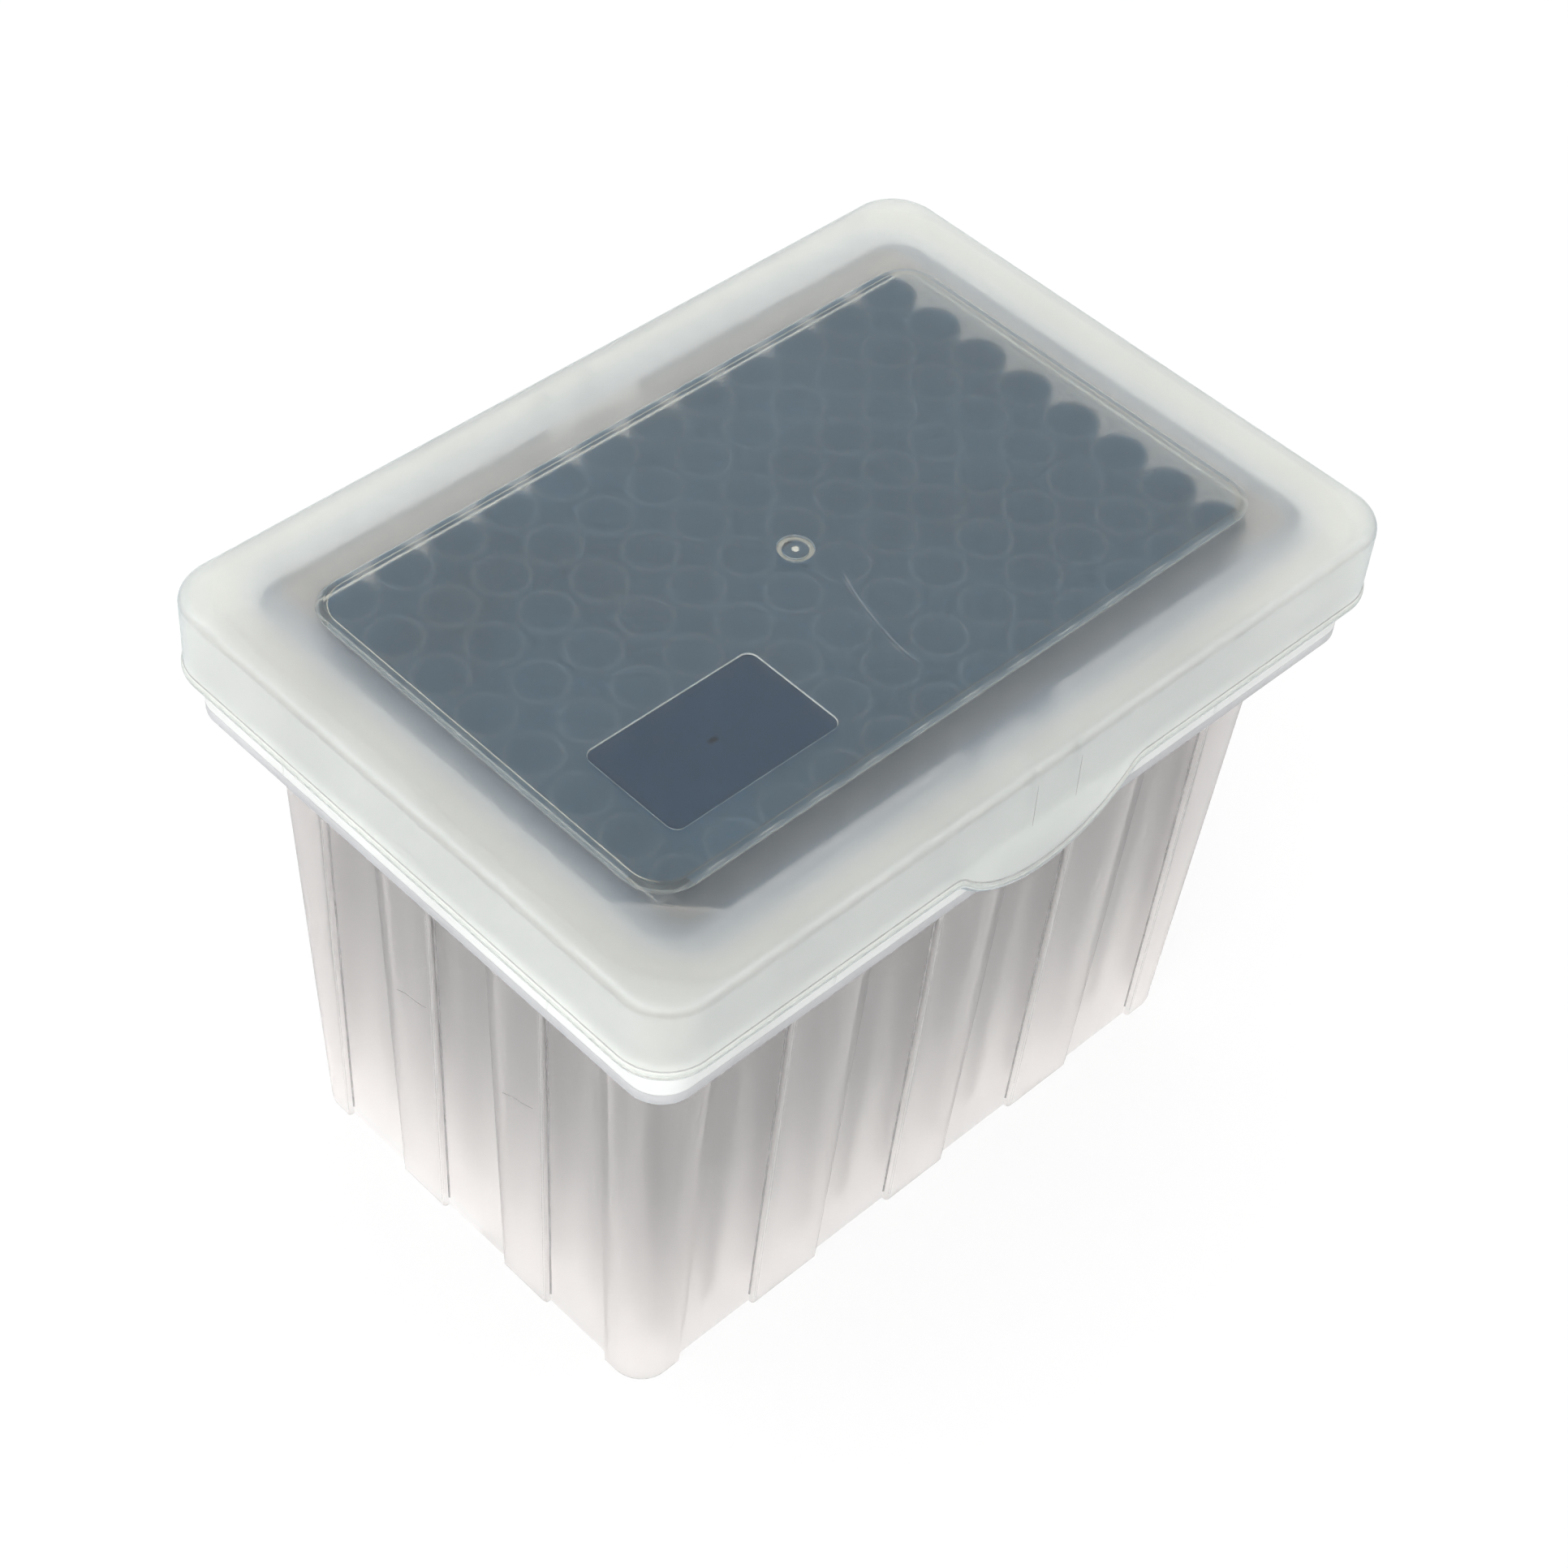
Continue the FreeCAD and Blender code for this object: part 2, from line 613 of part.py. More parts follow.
panel_border.Base = (panel_corners, rim_names)
panel_border.ChamferType = "Two distances"
bind(panel_border, Size="(panel_rise - panel_lip)", Size2="panel_slope")

# the hollow under the panel
under_sketch = new_sketch(lid, "UnderPanelOutline", "XY_Plane", LID_UNDER)
rectangle(under_sketch, both(PANEL_HALF_LENGTH), both(PANEL_HALF_WIDTH))
under_panel = pocket(lid, "UnderPanel", under_sketch, "panel_rise", reverse=True)
doc.recompute()

# the smooth field for a label, in the panel's front left corner
label_sketch = new_sketch(lid, "LabelOutline", "XY_Plane", PANEL_TOP)
LABEL_LEFT = "-(%s - label_margin_end)" % PANEL_HALF_LENGTH
LABEL_FRONT = "-(%s - label_margin_side)" % PANEL_HALF_WIDTH
rectangle(label_sketch, (LABEL_LEFT, "%s + label_length" % LABEL_LEFT),
          (LABEL_FRONT, "%s + label_width" % LABEL_FRONT))
label = pocket(lid, "Label", label_sketch, "label_depth")
label_corners = soften(
    lid, "LabelCorners", label,
    lambda middle, run: upright_edge(middle, run) and middle.z > size("tub_height") + 1.7, "label_corner")

# the mark that the moulding gate leaves in the middle: a ring, a shallow dish and a nub
gate_sketch = new_sketch(lid, "GateProfile", "XZ_Plane")
outline(gate_sketch, [
    ("0", "%s + 1" % PANEL_TOP),
    ("0", "%s - gate_dish + gate_nub_rise" % PANEL_TOP),
    ("gate_nub", "%s - gate_dish + gate_nub_rise" % PANEL_TOP),
    ("gate_nub", "%s - gate_dish" % PANEL_TOP),
    ("gate_ring_inner", "%s - gate_dish" % PANEL_TOP),
    ("gate_ring_inner", "%s - gate_depth" % PANEL_TOP),
    ("gate_ring_outer", "%s - gate_depth" % PANEL_TOP),
    ("gate_ring_outer", "%s + 1" % PANEL_TOP)])
gate = lid.newObject("PartDesign::Groove", "Gate")
gate.Profile = gate_sketch
gate.ReferenceAxis = (gate_sketch, ["V_Axis"])
gate.Angle = 360.0

# ribs inside the front and back walls
rib_sketch = new_sketch(lid, "LidRibOutline", "YZ_Plane", "lid_rib_x - lid_rib_wall / 2")
RIB_FOOT = "%s - lid_rib_drop" % LID_UNDER
outline(rib_sketch, [
    ("-(%s - lid_wall / 2)" % LID_HALF_WIDTH, "%s + lid_plate / 2" % LID_UNDER),
    ("-(%s - lid_wall / 2)" % LID_HALF_WIDTH, RIB_FOOT),
    ("-(%s - lid_wall - lid_rib_shallow)" % LID_HALF_WIDTH, RIB_FOOT),
    ("-(%s - lid_wall - lid_rib_deep)" % LID_HALF_WIDTH, "%s + lid_plate / 2" % LID_UNDER)])
lid_rib = pad(lid, "LidRib", rib_sketch, "lid_rib_wall")
lid_ribs = lid.newObject("PartDesign::MultiTransform", "LidRibs")
lid_ribs.Originals = [lid_rib]
rib_mirrors = []
for role in ("YZ_Plane", "XZ_Plane"):
    mirror = lid.newObject("PartDesign::Mirrored", "LidRibMirror" + role[:2])
    mirror.MirrorPlane = (origin_feature(lid, role), [""])
    rib_mirrors.append(mirror)
lid_ribs.Transformations = rib_mirrors
lid.Tip = lid_ribs

# the thumb tab: the front wall runs on down below an arc
tab_sketch = new_sketch(lid, "TabOutline", "XZ_Plane", LID_HALF_WIDTH)
edge_z = size("tub_height") - size("collar_height") - size("lid_overlap") + size("bead_radius")
tab_middle = edge_z - size("tab_drop") + size("tab_arc")
tab_turn = math.asin((tab_middle - edge_z - 2) / size("tab_arc"))
tab_arc = tab_sketch.addGeometry(Part.ArcOfCircle(
    Part.Circle(Vector(0, tab_middle, 0), Vector(0, 0, 1), size("tab_arc")),
    math.pi + tab_turn, 2 * math.pi - tab_turn), False)
tab_chord = tab_sketch.addGeometry(Part.LineSegment(
    Vector(-15, edge_z + 2, 0), Vector(15, edge_z + 2, 0)), False)
tab_sketch.addConstraint(Sketcher.Constraint("Coincident", tab_arc, 1, tab_chord, 1))
tab_sketch.addConstraint(Sketcher.Constraint("Coincident", tab_arc, 2, tab_chord, 2))
tab_sketch.addConstraint(Sketcher.Constraint("Horizontal", tab_chord))
held = tab_sketch.addConstraint(Sketcher.Constraint("Radius", tab_arc, size("tab_arc")))
tab_sketch.setExpression("Constraints[%d]" % held, cells("tab_arc"))
held = tab_sketch.addConstraint(Sketcher.Constraint("DistanceY", -1, 1, tab_chord, 1, edge_z + 2))
tab_sketch.setExpression("Constraints[%d]" % held, cells("%s + 2" % LID_EDGE))
pin(tab_sketch, tab_arc, 3, "0", "%s - tab_drop + tab_arc" % LID_EDGE)
tab = pad(lid, "Tab", tab_sketch, "lid_wall", reverse=True)
doc.recompute()
tab_blend = soften(
    lid, "TabBlend", tab,
    lambda middle, run: abs(run.y) > 0.9 and abs(middle.z - edge_z) < 0.01 and abs(middle.x) < size("tab_arc"),
    "tab_blend")

# the round bead along the whole lower edge, which the tab's edge carries on
doc.recompute()
lid_x = max(vertex.X for vertex in tab_blend.Shape.Vertexes)
lid_y = max(vertex.Y for vertex in tab_blend.Shape.Vertexes)
bead_names = []
for index, edge in enumerate(tab_blend.Shape.Edges, start=1):
    middle = edge.CenterOfMass
    if middle.z > edge_z + 0.01 or edge.Length < 2 * size("lid_wall"):
        continue
    on_side = abs(abs(middle.x) - lid_x) < 0.01 or abs(abs(middle.y) - lid_y) < 0.01
    on_corner = edge.Curve.TypeId == "Part::GeomCircle" and abs(edge.Curve.Radius - size("lid_corner")) < 0.01
    if on_side or on_corner:
        bead_names.append("Edge%d" % index)
bead_sketch = new_sketch(lid, "BeadProfile", "YZ_Plane")
circle(bead_sketch, "%s - bead_inset" % LID_HALF_WIDTH, LID_EDGE, "bead_radius")
bead = lid.newObject("PartDesign::AdditivePipe", "Bead")
bead.Profile = bead_sketch
bead.Spine = (tab_blend, bead_names)
bead.Mode = "Standard"
lid.Tip = bead
doc.recompute()

# ---------------------------------------------------------------- checks and files
nodes = [tub, rack, lid] + columns
for obj in doc.Objects:
    if "Invalid" in obj.State or "Error" in obj.State:
        raise RuntimeError("%s failed: %s" % (obj.Name, obj.State))
os.makedirs("parts", exist_ok=True)
for node in nodes:
    shape = node.Shape
    if shape.isNull() or not shape.isValid():
        raise RuntimeError("%s has no valid shape" % node.Label)
    shape.exportStep("parts/%s.step" % node.Label)
    print("%-16s %3d solids %10.1f mm3" % (node.Label, len(shape.Solids), shape.Volume))
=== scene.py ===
import math

import bmesh
import bpy
from mathutils import Matrix, Vector


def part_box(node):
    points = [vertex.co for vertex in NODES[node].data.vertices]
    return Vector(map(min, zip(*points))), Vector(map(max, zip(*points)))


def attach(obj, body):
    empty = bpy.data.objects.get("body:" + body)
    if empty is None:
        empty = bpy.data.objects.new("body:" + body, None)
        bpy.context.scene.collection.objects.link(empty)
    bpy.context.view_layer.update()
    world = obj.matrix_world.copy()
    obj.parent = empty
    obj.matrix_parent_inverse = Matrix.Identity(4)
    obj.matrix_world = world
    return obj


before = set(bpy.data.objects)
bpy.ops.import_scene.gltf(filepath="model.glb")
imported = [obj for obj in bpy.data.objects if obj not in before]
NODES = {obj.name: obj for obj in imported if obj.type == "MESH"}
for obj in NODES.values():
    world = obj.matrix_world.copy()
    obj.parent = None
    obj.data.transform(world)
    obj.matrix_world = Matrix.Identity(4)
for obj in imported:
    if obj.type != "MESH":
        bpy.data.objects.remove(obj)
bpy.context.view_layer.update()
scene = bpy.context.scene

# ---------------------------------------------------------------- sizes of the mouldings, in mm
# A rounded rectangle is given by its half sides, its middle and its corner radius.
SKIRT = ((68.0, 48.4), (0.0, 0.0), 7.4)
LID_EDGE_RADIUS, LID_EDGE_FOOT = 1.6, 101.7      # the round edge between the border and the skirt
BORDER_TOP = 103.3
BORDER_INNER = ((55.87, 34.17), 6.15)            # half sides and corner radius of the border's frosting
BORDER_OUTER = ((66.35, 46.75), 5.80)
BEAD_RADIUS, BEAD_INSET, BEAD_HEIGHT = 1.0, 0.7, 91.1
BEAD_REACH = 0.295                               # the frosting on the bead stays inside the lid's own outline
TAB_RADIUS, TAB_BLEND, TAB_DROP = 21.0, 4.0, 8.0
FRONT = -40.0                                    # nearer than this in Y, the lid's edge follows the tab
PANEL_TOP = ((54.7, 33.0), (0.0, 0.0), 5.0)
PANEL_FOOT = ((55.8, 34.1), (0.0, 0.0), 6.1)
PANEL_RISE = 0.5
LABEL = ((14.3, 8.6), (-32.1, -18.4), 1.6)
LABEL_DEPTH = 0.25
GATE_FIELD = ((2.6, 2.6), (0.0, 0.0), 2.6)       # the gap in the panel's haze
GATE_RING = ((2.2, 2.2), (0.0, 0.0), 2.2)
GATE_DEPTH = 0.55                                # how deep in the plastic the gate's own haze lies
RIM = ((65.7, 46.1), (0.0, 0.0), 5.26)
WALL_FOOT = {"long": 36.0, "short": 56.0}        # from the middle to a wall's outer face, at the floor
DRAFT = 0.04                                     # how far a wall leans outward for each mm of height
RIB_LEAN = 0.013                                 # the same for a rib's side
RECESS = 1.2                                     # how deep the wall lies between the ribs
COLLAR_TOP = 101.7
COLLAR_SIDES = (50.0, 34.0)                      # beyond these in X or Y, the collar's wall leans that way

# ---------------------------------------------------------------- where the surfaces change, in metres
# Painted light: between the same heights the tub's colour turns lighter towards the foot.
MATT_AND_LIT_FOOT = (0.055, 0.008)        # down between these heights the tub turns more matt
LID_TOP_FACE = (0.1000, 0.1005)   # the masks on the lid's top grow in between these heights
LID_CLEAR = (0.0530, 0.0355)      # within these half sides the lid's frosting is at its thinnest
LID_GROWS = (0.0010, 0.0104)      # it grows between these distances outside them
LID_EDGE_HEIGHT, LID_RIDGE_HEIGHT = 0.1023, 0.10325

# ---------------------------------------------------------------- how much of a face the frosting covers
LID_COVER = (0.015, 0.18)    # each of the lid's two sheets, beside the panel and on the skirt
# The round edge's thinner cover paints a shade, and the ridge's added cover paints a highlight.
EDGE_SHADE_COVER = 0.50            # the share of that left on the lid's round edge
RIDGE_HIGHLIGHT_GAIN = 0.20            # how much is added on the ridge where the edge begins
PANEL_COVER = (0.090, 0.150)

# Scratches on the raised panel: each arc's centre, radius, width and strength, then the half sides and the
# middle of the rectangle that it shows in. Metres.
PANEL_SCRATCHES = (
    ((0.0509, -0.0293), 0.0540, 0.00016, 0.45, (0.0040, 0.0082), (-0.0008, -0.0162)),
    ((0.0993, 0.0056), 0.0784, 0.00012, 0.20, (0.0030, 0.0044), (0.0211, 0.0027)),
)
# Scratches on the short front wall: points of Y and Z in mm.
WALL_SCRATCHES = {
    "low": [(-14.8, 46.9), (-12.6, 45.9), (-10.6, 45.3), (-8.4, 44.1)],
    "high": [(7.4, 47.6), (9.6, 46.9), (11.9, 46.6), (13.8, 45.6)],
}


# ---------------------------------------------------------------- node helpers
class Graph:
    """A material's or a group's nodes, added and linked by short calls."""

    def __init__(self, tree):
        self.tree = tree

    def node(self, kind, **settings):
        made = self.tree.nodes.new(kind)
        for name, value in settings.items():
            setattr(made, name, value)
        return made

    def link(self, source, target):
        self.tree.links.new(source, target)

    def feed(self, socket, value):
        """Give a socket a number, a colour, or another node's output."""
        if isinstance(value, tuple):
            socket.default_value = (*value, 1.0)
        elif not isinstance(value, (int, float)):
            self.link(value, socket)
        elif socket.type == "RGBA":
            socket.default_value = (value, value, value, 1.0)
        else:
            socket.default_value = value

    def math(self, operation, first, second=0.0):
        made = self.node("ShaderNodeMath", operation=operation)
        self.feed(made.inputs[0], first)
        self.feed(made.inputs[1], second)
        return made.outputs[0]

    def spread(self, value, low, high, to_low=0.0, to_high=1.0, soft=False):
        made = self.node("ShaderNodeMapRange", interpolation_type="SMOOTHSTEP" if soft else "LINEAR")
        names = ("Value", "From Min", "From Max", "To Min", "To Max")
        for name, number in zip(names, (value, low, high, to_low, to_high)):
            self.feed(made.inputs[name], number)
        return made.outputs[0]

    def mix(self, factor, first, second):
        made = self.node("ShaderNodeMix", data_type="RGBA")
        for index, value in ((0, factor), (6, first), (7, second)):
            self.feed(made.inputs[index], value)
        return made.outputs[2]

    def place(self):
        """Where the surface is, in the object's own metres."""
        return self.node("ShaderNodeTexCoord").outputs["Object"]

    def axes(self):
        """The same place as three numbers, X, Y and Z."""
        parts = self.node("ShaderNodeSeparateXYZ")
        self.link(self.place(), parts.inputs[0])
        return parts.outputs

    def outside(self, offsets, straights):
        """How far a place is outside a rectangle, from its offsets to the middle and the half sides."""
        squares = []
        for offset, straight in zip(offsets, straights):
            over = self.math("SUBTRACT", self.math("ABSOLUTE", offset), straight)
            over = self.math("MAXIMUM", over, 0.0)
            squares.append(self.math("MULTIPLY", over, over))
        return self.math("SQRT", self.math("ADD", *squares))

    def seen(self):
        """One where the eye sees the surface, straight, through plastic or as a reflection."""
        path = self.node("ShaderNodeLightPath").outputs
        seen = self.math("MAXIMUM", path["Is Camera Ray"], path["Is Transmission Ray"])
        return self.math("MAXIMUM", seen, path["Is Glossy Ray"])


def new_material(name):
    """An empty node material with a Principled BSDF, and its graph."""
    material = bpy.data.materials.new(name)
    material.use_nodes = True
    graph = Graph(material.node_tree)
    return material, graph, material.node_tree.nodes["Principled BSDF"]


def new_group(name, inputs, output):
    """An empty node group of plain numbers, and its graph."""
    tree = bpy.data.node_groups.new(name, "ShaderNodeTree")
    for label, value in inputs:
        socket = tree.interface.new_socket(label, in_out="INPUT", socket_type="NodeSocketFloat")
        socket.default_value = value
    tree.interface.new_socket(output, in_out="OUTPUT", socket_type="NodeSocketFloat")
    graph = Graph(tree)
    return tree, graph, graph.node("NodeGroupInput").outputs, graph.node("NodeGroupOutput").inputs


# ---------------------------------------------------------------- node groups
def build_haze():
    """Node group for slow clouding in a moulding, drawn out along Z by Stretch."""
    inputs = (("Scale", 50.0), ("Stretch", 1.0), ("Detail", 3.0))
    tree, graph, given, result = new_group("moulding haze", inputs, "Cloud")
    axes = graph.axes()
    drawn = graph.node("ShaderNodeCombineXYZ")
    graph.link(axes[0], drawn.inputs[0])
    graph.link(axes[1], drawn.inputs[1])
    graph.link(graph.math("DIVIDE", axes[2], given["Stretch"]), drawn.inputs[2])
    speckle = graph.node("ShaderNodeTexNoise")
    graph.link(drawn.outputs[0], speckle.inputs["Vector"])
    graph.link(given["Scale"], speckle.inputs["Scale"])
    graph.link(given["Detail"], speckle.inputs["Detail"])
    graph.link(graph.spread(speckle.outputs["Fac"], 0.3, 0.7), result["Cloud"])
    return tree


def build_field():
    """Node group for a rounded rectangle on the lid's top.

    Straight is the way from its middle to where a corner starts. Inner and Outer are the radii between which
    its edge fades."""
    names = ("Straight X", "Straight Y", "Middle X", "Middle Y", "Outer", "Inner")
    tree, graph, given, result = new_group("rounded field", [(name, 0.0) for name in names], "Inside")
    axes = graph.axes()
    offsets = [graph.math("SUBTRACT", axis, given["Middle " + letter]) for axis, letter in zip(axes, "XY")]
    far = graph.outside(offsets, (given["Straight X"], given["Straight Y"]))
    inside = graph.spread(far, given["Outer"], given["Inner"])
    high = graph.spread(axes[2], *LID_TOP_FACE)
    graph.link(graph.math("MULTIPLY", inside, high), result["Inside"])
    return tree


def placed_group(graph, tree, values):
    """A node group in a material, with its own values."""
    made = graph.node("ShaderNodeGroup")
    made.node_tree = tree
    for socket, value in zip(made.inputs, values):
        socket.default_value = value
    return made.outputs[0]


def haze(graph, scale, stretch=1.0, detail=3.0):
    """The clouding at this scale, from nought to one."""
    return placed_group(graph, haze_tree, (scale, stretch, detail))


def field_mask(graph, half, middle, corner, soft):
    """One inside a rounded rectangle on the lid's top, nought outside it, with an edge this soft. Metres."""
    values = (half[0] - corner, half[1] - corner, *middle, corner + soft, corner - soft)
    return placed_group(graph, field_tree, values)


def shape_mask(graph, shape, soft):
    """The same for one of the shapes in mm."""
    half, middle, corner = shape
    half, middle = [tuple(value / 1000 for value in pair) for pair in (half, middle)]
    return field_mask(graph, half, middle, corner / 1000, soft)


def arc_mask(graph, centre, radius, width, strength, half, middle):
    """The strength on a fine arc of this circle, inside a rectangle of half sides about the middle."""
    away = graph.node("ShaderNodeVectorMath", operation="SUBTRACT")
    graph.link(graph.place(), away.inputs[0])
    away.inputs[1].default_value = (*centre, 0.0)
    flat = graph.node("ShaderNodeVectorMath", operation="MULTIPLY")
    graph.link(away.outputs[0], flat.inputs[0])
    flat.inputs[1].default_value = (1.0, 1.0, 0.0)
    length = graph.node("ShaderNodeVectorMath", operation="LENGTH")
    graph.link(flat.outputs[0], length.inputs[0])
    off = graph.math("ABSOLUTE", graph.math("SUBTRACT", length.outputs["Value"], radius))
    inside = field_mask(graph, half, middle, 0.0012, 0.0010)
    return graph.math("MULTIPLY", graph.spread(off, width * 0.4, width, strength, 0.0), inside)


# ---------------------------------------------------------------- materials of the CAD pieces
def tub_plastic():
    """Natural polypropylene, satin on both sides and more matt at the foot, with faint upright flow streaks.
    Its colour is painted lighter towards the foot.
    """
    material, graph, shader = new_material("natural polypropylene")
    foot = graph.spread(graph.axes()[2], *MATT_AND_LIT_FOOT)
    cloud = haze(graph, 50.0)
    streak = haze(graph, 420.0, 30.0, 2.0)
    upper = graph.mix(cloud, (0.955, 0.933, 0.923), (0.975, 0.954, 0.944))
    # Painted light: the colour turns lighter towards the foot.
    tone = graph.mix(foot, upper, (0.998, 0.976, 0.964))
    graph.link(graph.mix(streak, graph.mix(0.3, tone, (0.94, 0.92, 0.91)), tone), shader.inputs["Base Color"])
    satin = graph.spread(cloud, 0.0, 1.0, 0.43, 0.47)
    rough = graph.mix(foot, satin, graph.spread(cloud, 0.0, 1.0, 0.66, 0.70))
    rough = graph.math("ADD", rough, graph.spread(streak, 0.0, 1.0, 0.0, 0.015))
    graph.link(rough, shader.inputs["Roughness"])
    shader.inputs["Transmission Weight"].default_value = 0.92
    shader.inputs["IOR"].default_value = 1.35
    return material


def lid_plastic():
    """Frosted polypropylene: matt on the border and skirt, clearer on the raised panel and the label field.

    The panel's scratches are a glossier coat."""
    material, graph, shader = new_material("frosted polypropylene")
    cloud = haze(graph, 45.0)
    panel = shape_mask(graph, PANEL_FOOT, 0.0002)
    label = shape_mask(graph, LABEL, 0.0001)
    matt = graph.mix(cloud, (0.96, 0.94, 0.89), (0.99, 0.97, 0.92))
    clear = graph.mix(cloud, (0.96, 0.92, 0.83), (1.0, 0.96, 0.87))
    tone = graph.mix(label, graph.mix(panel, matt, clear), (0.46, 0.46, 0.48))
    graph.link(tone, shader.inputs["Base Color"])
    matt, clear = graph.spread(cloud, 0.0, 1.0, 0.58, 0.64), graph.spread(cloud, 0.0, 1.0, 0.300, 0.320)
    rough = graph.mix(panel, matt, clear)
    graph.link(graph.mix(label, rough, 0.285), shader.inputs["Roughness"])
    arcs = graph.math("ADD", *[arc_mask(graph, *scratch) for scratch in PANEL_SCRATCHES])
    broken = graph.spread(haze(graph, 600.0, 1.0, 2.0), 0.3, 0.6, 0.6, 1.0)
    graph.link(graph.math("MULTIPLY", arcs, broken), shader.inputs["Coat Weight"])
    for name, value in (("Coat IOR", 3.0), ("Coat Roughness", 0.35), ("Transmission Weight", 0.97),
                        ("IOR", 1.35), ("Sheen Weight", 0.16), ("Sheen Roughness", 0.5),
                        ("Sheen Tint", (0.0, 0.5, 1.0, 1.0))):
        shader.inputs[name].default_value = value
    return material


def rack_plastic():
    """The rack plate's own plastic: ivory and much milkier than the tub."""
    material, graph, shader = new_material("ivory polypropylene")
    cloud = haze(graph, 90.0)
    graph.link(graph.mix(cloud, (0.93, 0.91, 0.85), (0.97, 0.95, 0.89)), shader.inputs["Base Color"])
    graph.link(graph.spread(cloud, 0.0, 1.0, 0.40, 0.50), shader.inputs["Roughness"])
    shader.inputs["Transmission Weight"].default_value = 0.35
    shader.inputs["IOR"].default_value = 1.35
    return material


def tip_plastic():
    """Carbon-filled polypropylene: near black, with a satin sheen."""
    material, graph, shader = new_material("carbon filled polypropylene")
    grain = haze(graph, 900.0, 1.0, 2.0)
    graph.link(graph.mix(grain, (0.018, 0.019, 0.022), (0.030, 0.032, 0.036)), shader.inputs["Base Color"])
    graph.link(graph.spread(grain, 0.0, 1.0, 0.34, 0.44), shader.inputs["Roughness"])
    return material


def dress(names, material):
    """Give CAD nodes this material."""
    for name in names:
        for slot in NODES[name].material_slots:
            slot.material = material


# ---------------------------------------------------------------- materials of the thin pieces
def frosting(name, tone, strength, thin_tone=None):
    """The fine matt texture that whitens a moulded face. Where it is thin it takes the thin tone.

    Strength gives the cover, and how full the texture is there from nought to one."""
    material, graph, shader = new_material(name)
    cloud = haze(graph, 70.0)
    cover, full = strength(graph)
    colour = graph.mix(cloud, tuple(value - 0.03 for value in tone), tone)
    if thin_tone:
        colour = graph.mix(full, thin_tone, colour)
    graph.link(colour, shader.inputs["Base Color"])
    graph.link(graph.spread(cloud, 0.0, 1.0, 0.50, 0.60), shader.inputs["Roughness"])
    uneven = graph.spread(cloud, 0.0, 1.0, 0.94, 1.06)
    graph.link(graph.math("MULTIPLY", cover, uneven), shader.inputs["Alpha"])
    shader.inputs["Specular IOR Level"].default_value = 0.2
    return material


def lid_cover(graph):
    """Thin beside the raised panel, growing over the border, full on the skirt.

    It is thinner on the round edge, which paints a shade there, and thicker on the ridge where the edge begins,
    which paints a highlight."""
    axes = graph.axes()
    far = graph.outside(axes[:2], LID_CLEAR)
    grown = graph.spread(far, *LID_GROWS, *LID_COVER, soft=True)
    # Painted shade: less cover on the round edge.
    off = graph.math("ABSOLUTE", graph.math("SUBTRACT", axes[2], LID_EDGE_HEIGHT))
    cover = graph.math("MULTIPLY", grown, graph.spread(off, 0.0, 0.0008, EDGE_SHADE_COVER, 1.0, soft=True))
    # Painted highlight: more cover on the ridge where the edge begins.
    off = graph.math("ABSOLUTE", graph.math("SUBTRACT", axes[2], LID_RIDGE_HEIGHT))
    ridge = graph.spread(off, 0.0001, 0.0004, RIDGE_HIGHLIGHT_GAIN, 0.0)
    ridge = graph.math("MULTIPLY", ridge, graph.spread(far, 0.0122, 0.0130))
    cover = graph.math("MULTIPLY", cover, graph.math("ADD", ridge, 1.0))
    return cover, graph.spread(grown, LID_COVER[1] * 0.3, LID_COVER[1])


def panel_cover(graph):
    """A thin uneven haze of fine handling marks, with gaps over the label field and the gate."""
    patch = haze(graph, 38.0, 1.0, 4.0)
    grain = haze(graph, 850.0, 1.0, 2.0)
    both = graph.math("ADD", graph.math("MULTIPLY", patch, 0.7), graph.math("MULTIPLY", grain, 0.3))
    gaps = graph.math("MAXIMUM", shape_mask(graph, LABEL, 0.0001), shape_mask(graph, GATE_FIELD, 0.0001))
    marks = graph.spread(both, 0.0, 1.0, *PANEL_COVER)
    return graph.math("MULTIPLY", marks, graph.math("SUBTRACT", 1.0, gaps)), None


def even_cover(scale, cover, swing):
    """A cover that hardly changes over its face, give or take this swing."""
    return lambda graph: (graph.spread(haze(graph, scale), 0.0, 1.0, cover - swing, cover + swing), None)


def edge_plastic(name, cover=1.0, fade=None, clear=0.60):
    """Pale lines on polypropylene: painted highlights along moulded edges, a painted lighter line at each
    gusset, and the whitening of the gate's ring and nub. Fade is a span of Y over which it grows.
    """
    material, graph, shader = new_material(name)
    fleck = haze(graph, 700.0, 1.0, 2.0)
    graph.link(graph.mix(fleck, (0.82, 0.86, 0.83), (0.95, 0.97, 0.94)), shader.inputs["Base Color"])
    graph.link(graph.spread(fleck, 0.0, 1.0, 0.32, 0.42), shader.inputs["Roughness"])
    grown = graph.spread(fleck, 0.0, 1.0, cover * 0.8, cover)
    if fade:
        near = graph.spread(graph.axes()[1], fade[0], fade[1], 0.12, 1.0, soft=True)
        grown = graph.math("MULTIPLY", grown, near)
    graph.link(grown, shader.inputs["Alpha"])
    shader.inputs["Transmission Weight"].default_value = clear
    shader.inputs["IOR"].default_value = 1.35
    return material


def crease_plastic():
    """Painted shade for creases, under the lid's bead and behind the thumb tab, and the dark marks of the
    wall's scratches.
    """
    material, graph, shader = new_material("dulled polypropylene")
    fleck = haze(graph, 500.0, 3.0, 2.0)
    graph.link(graph.mix(fleck, (0.30, 0.29, 0.30), (0.46, 0.45, 0.45)), shader.inputs["Base Color"])
    graph.link(graph.spread(fleck, 0.0, 1.0, 0.50, 0.60), shader.inputs["Roughness"])
    graph.link(graph.spread(fleck, 0.0, 1.0, 0.45, 0.75), shader.inputs["Alpha"])
    return material


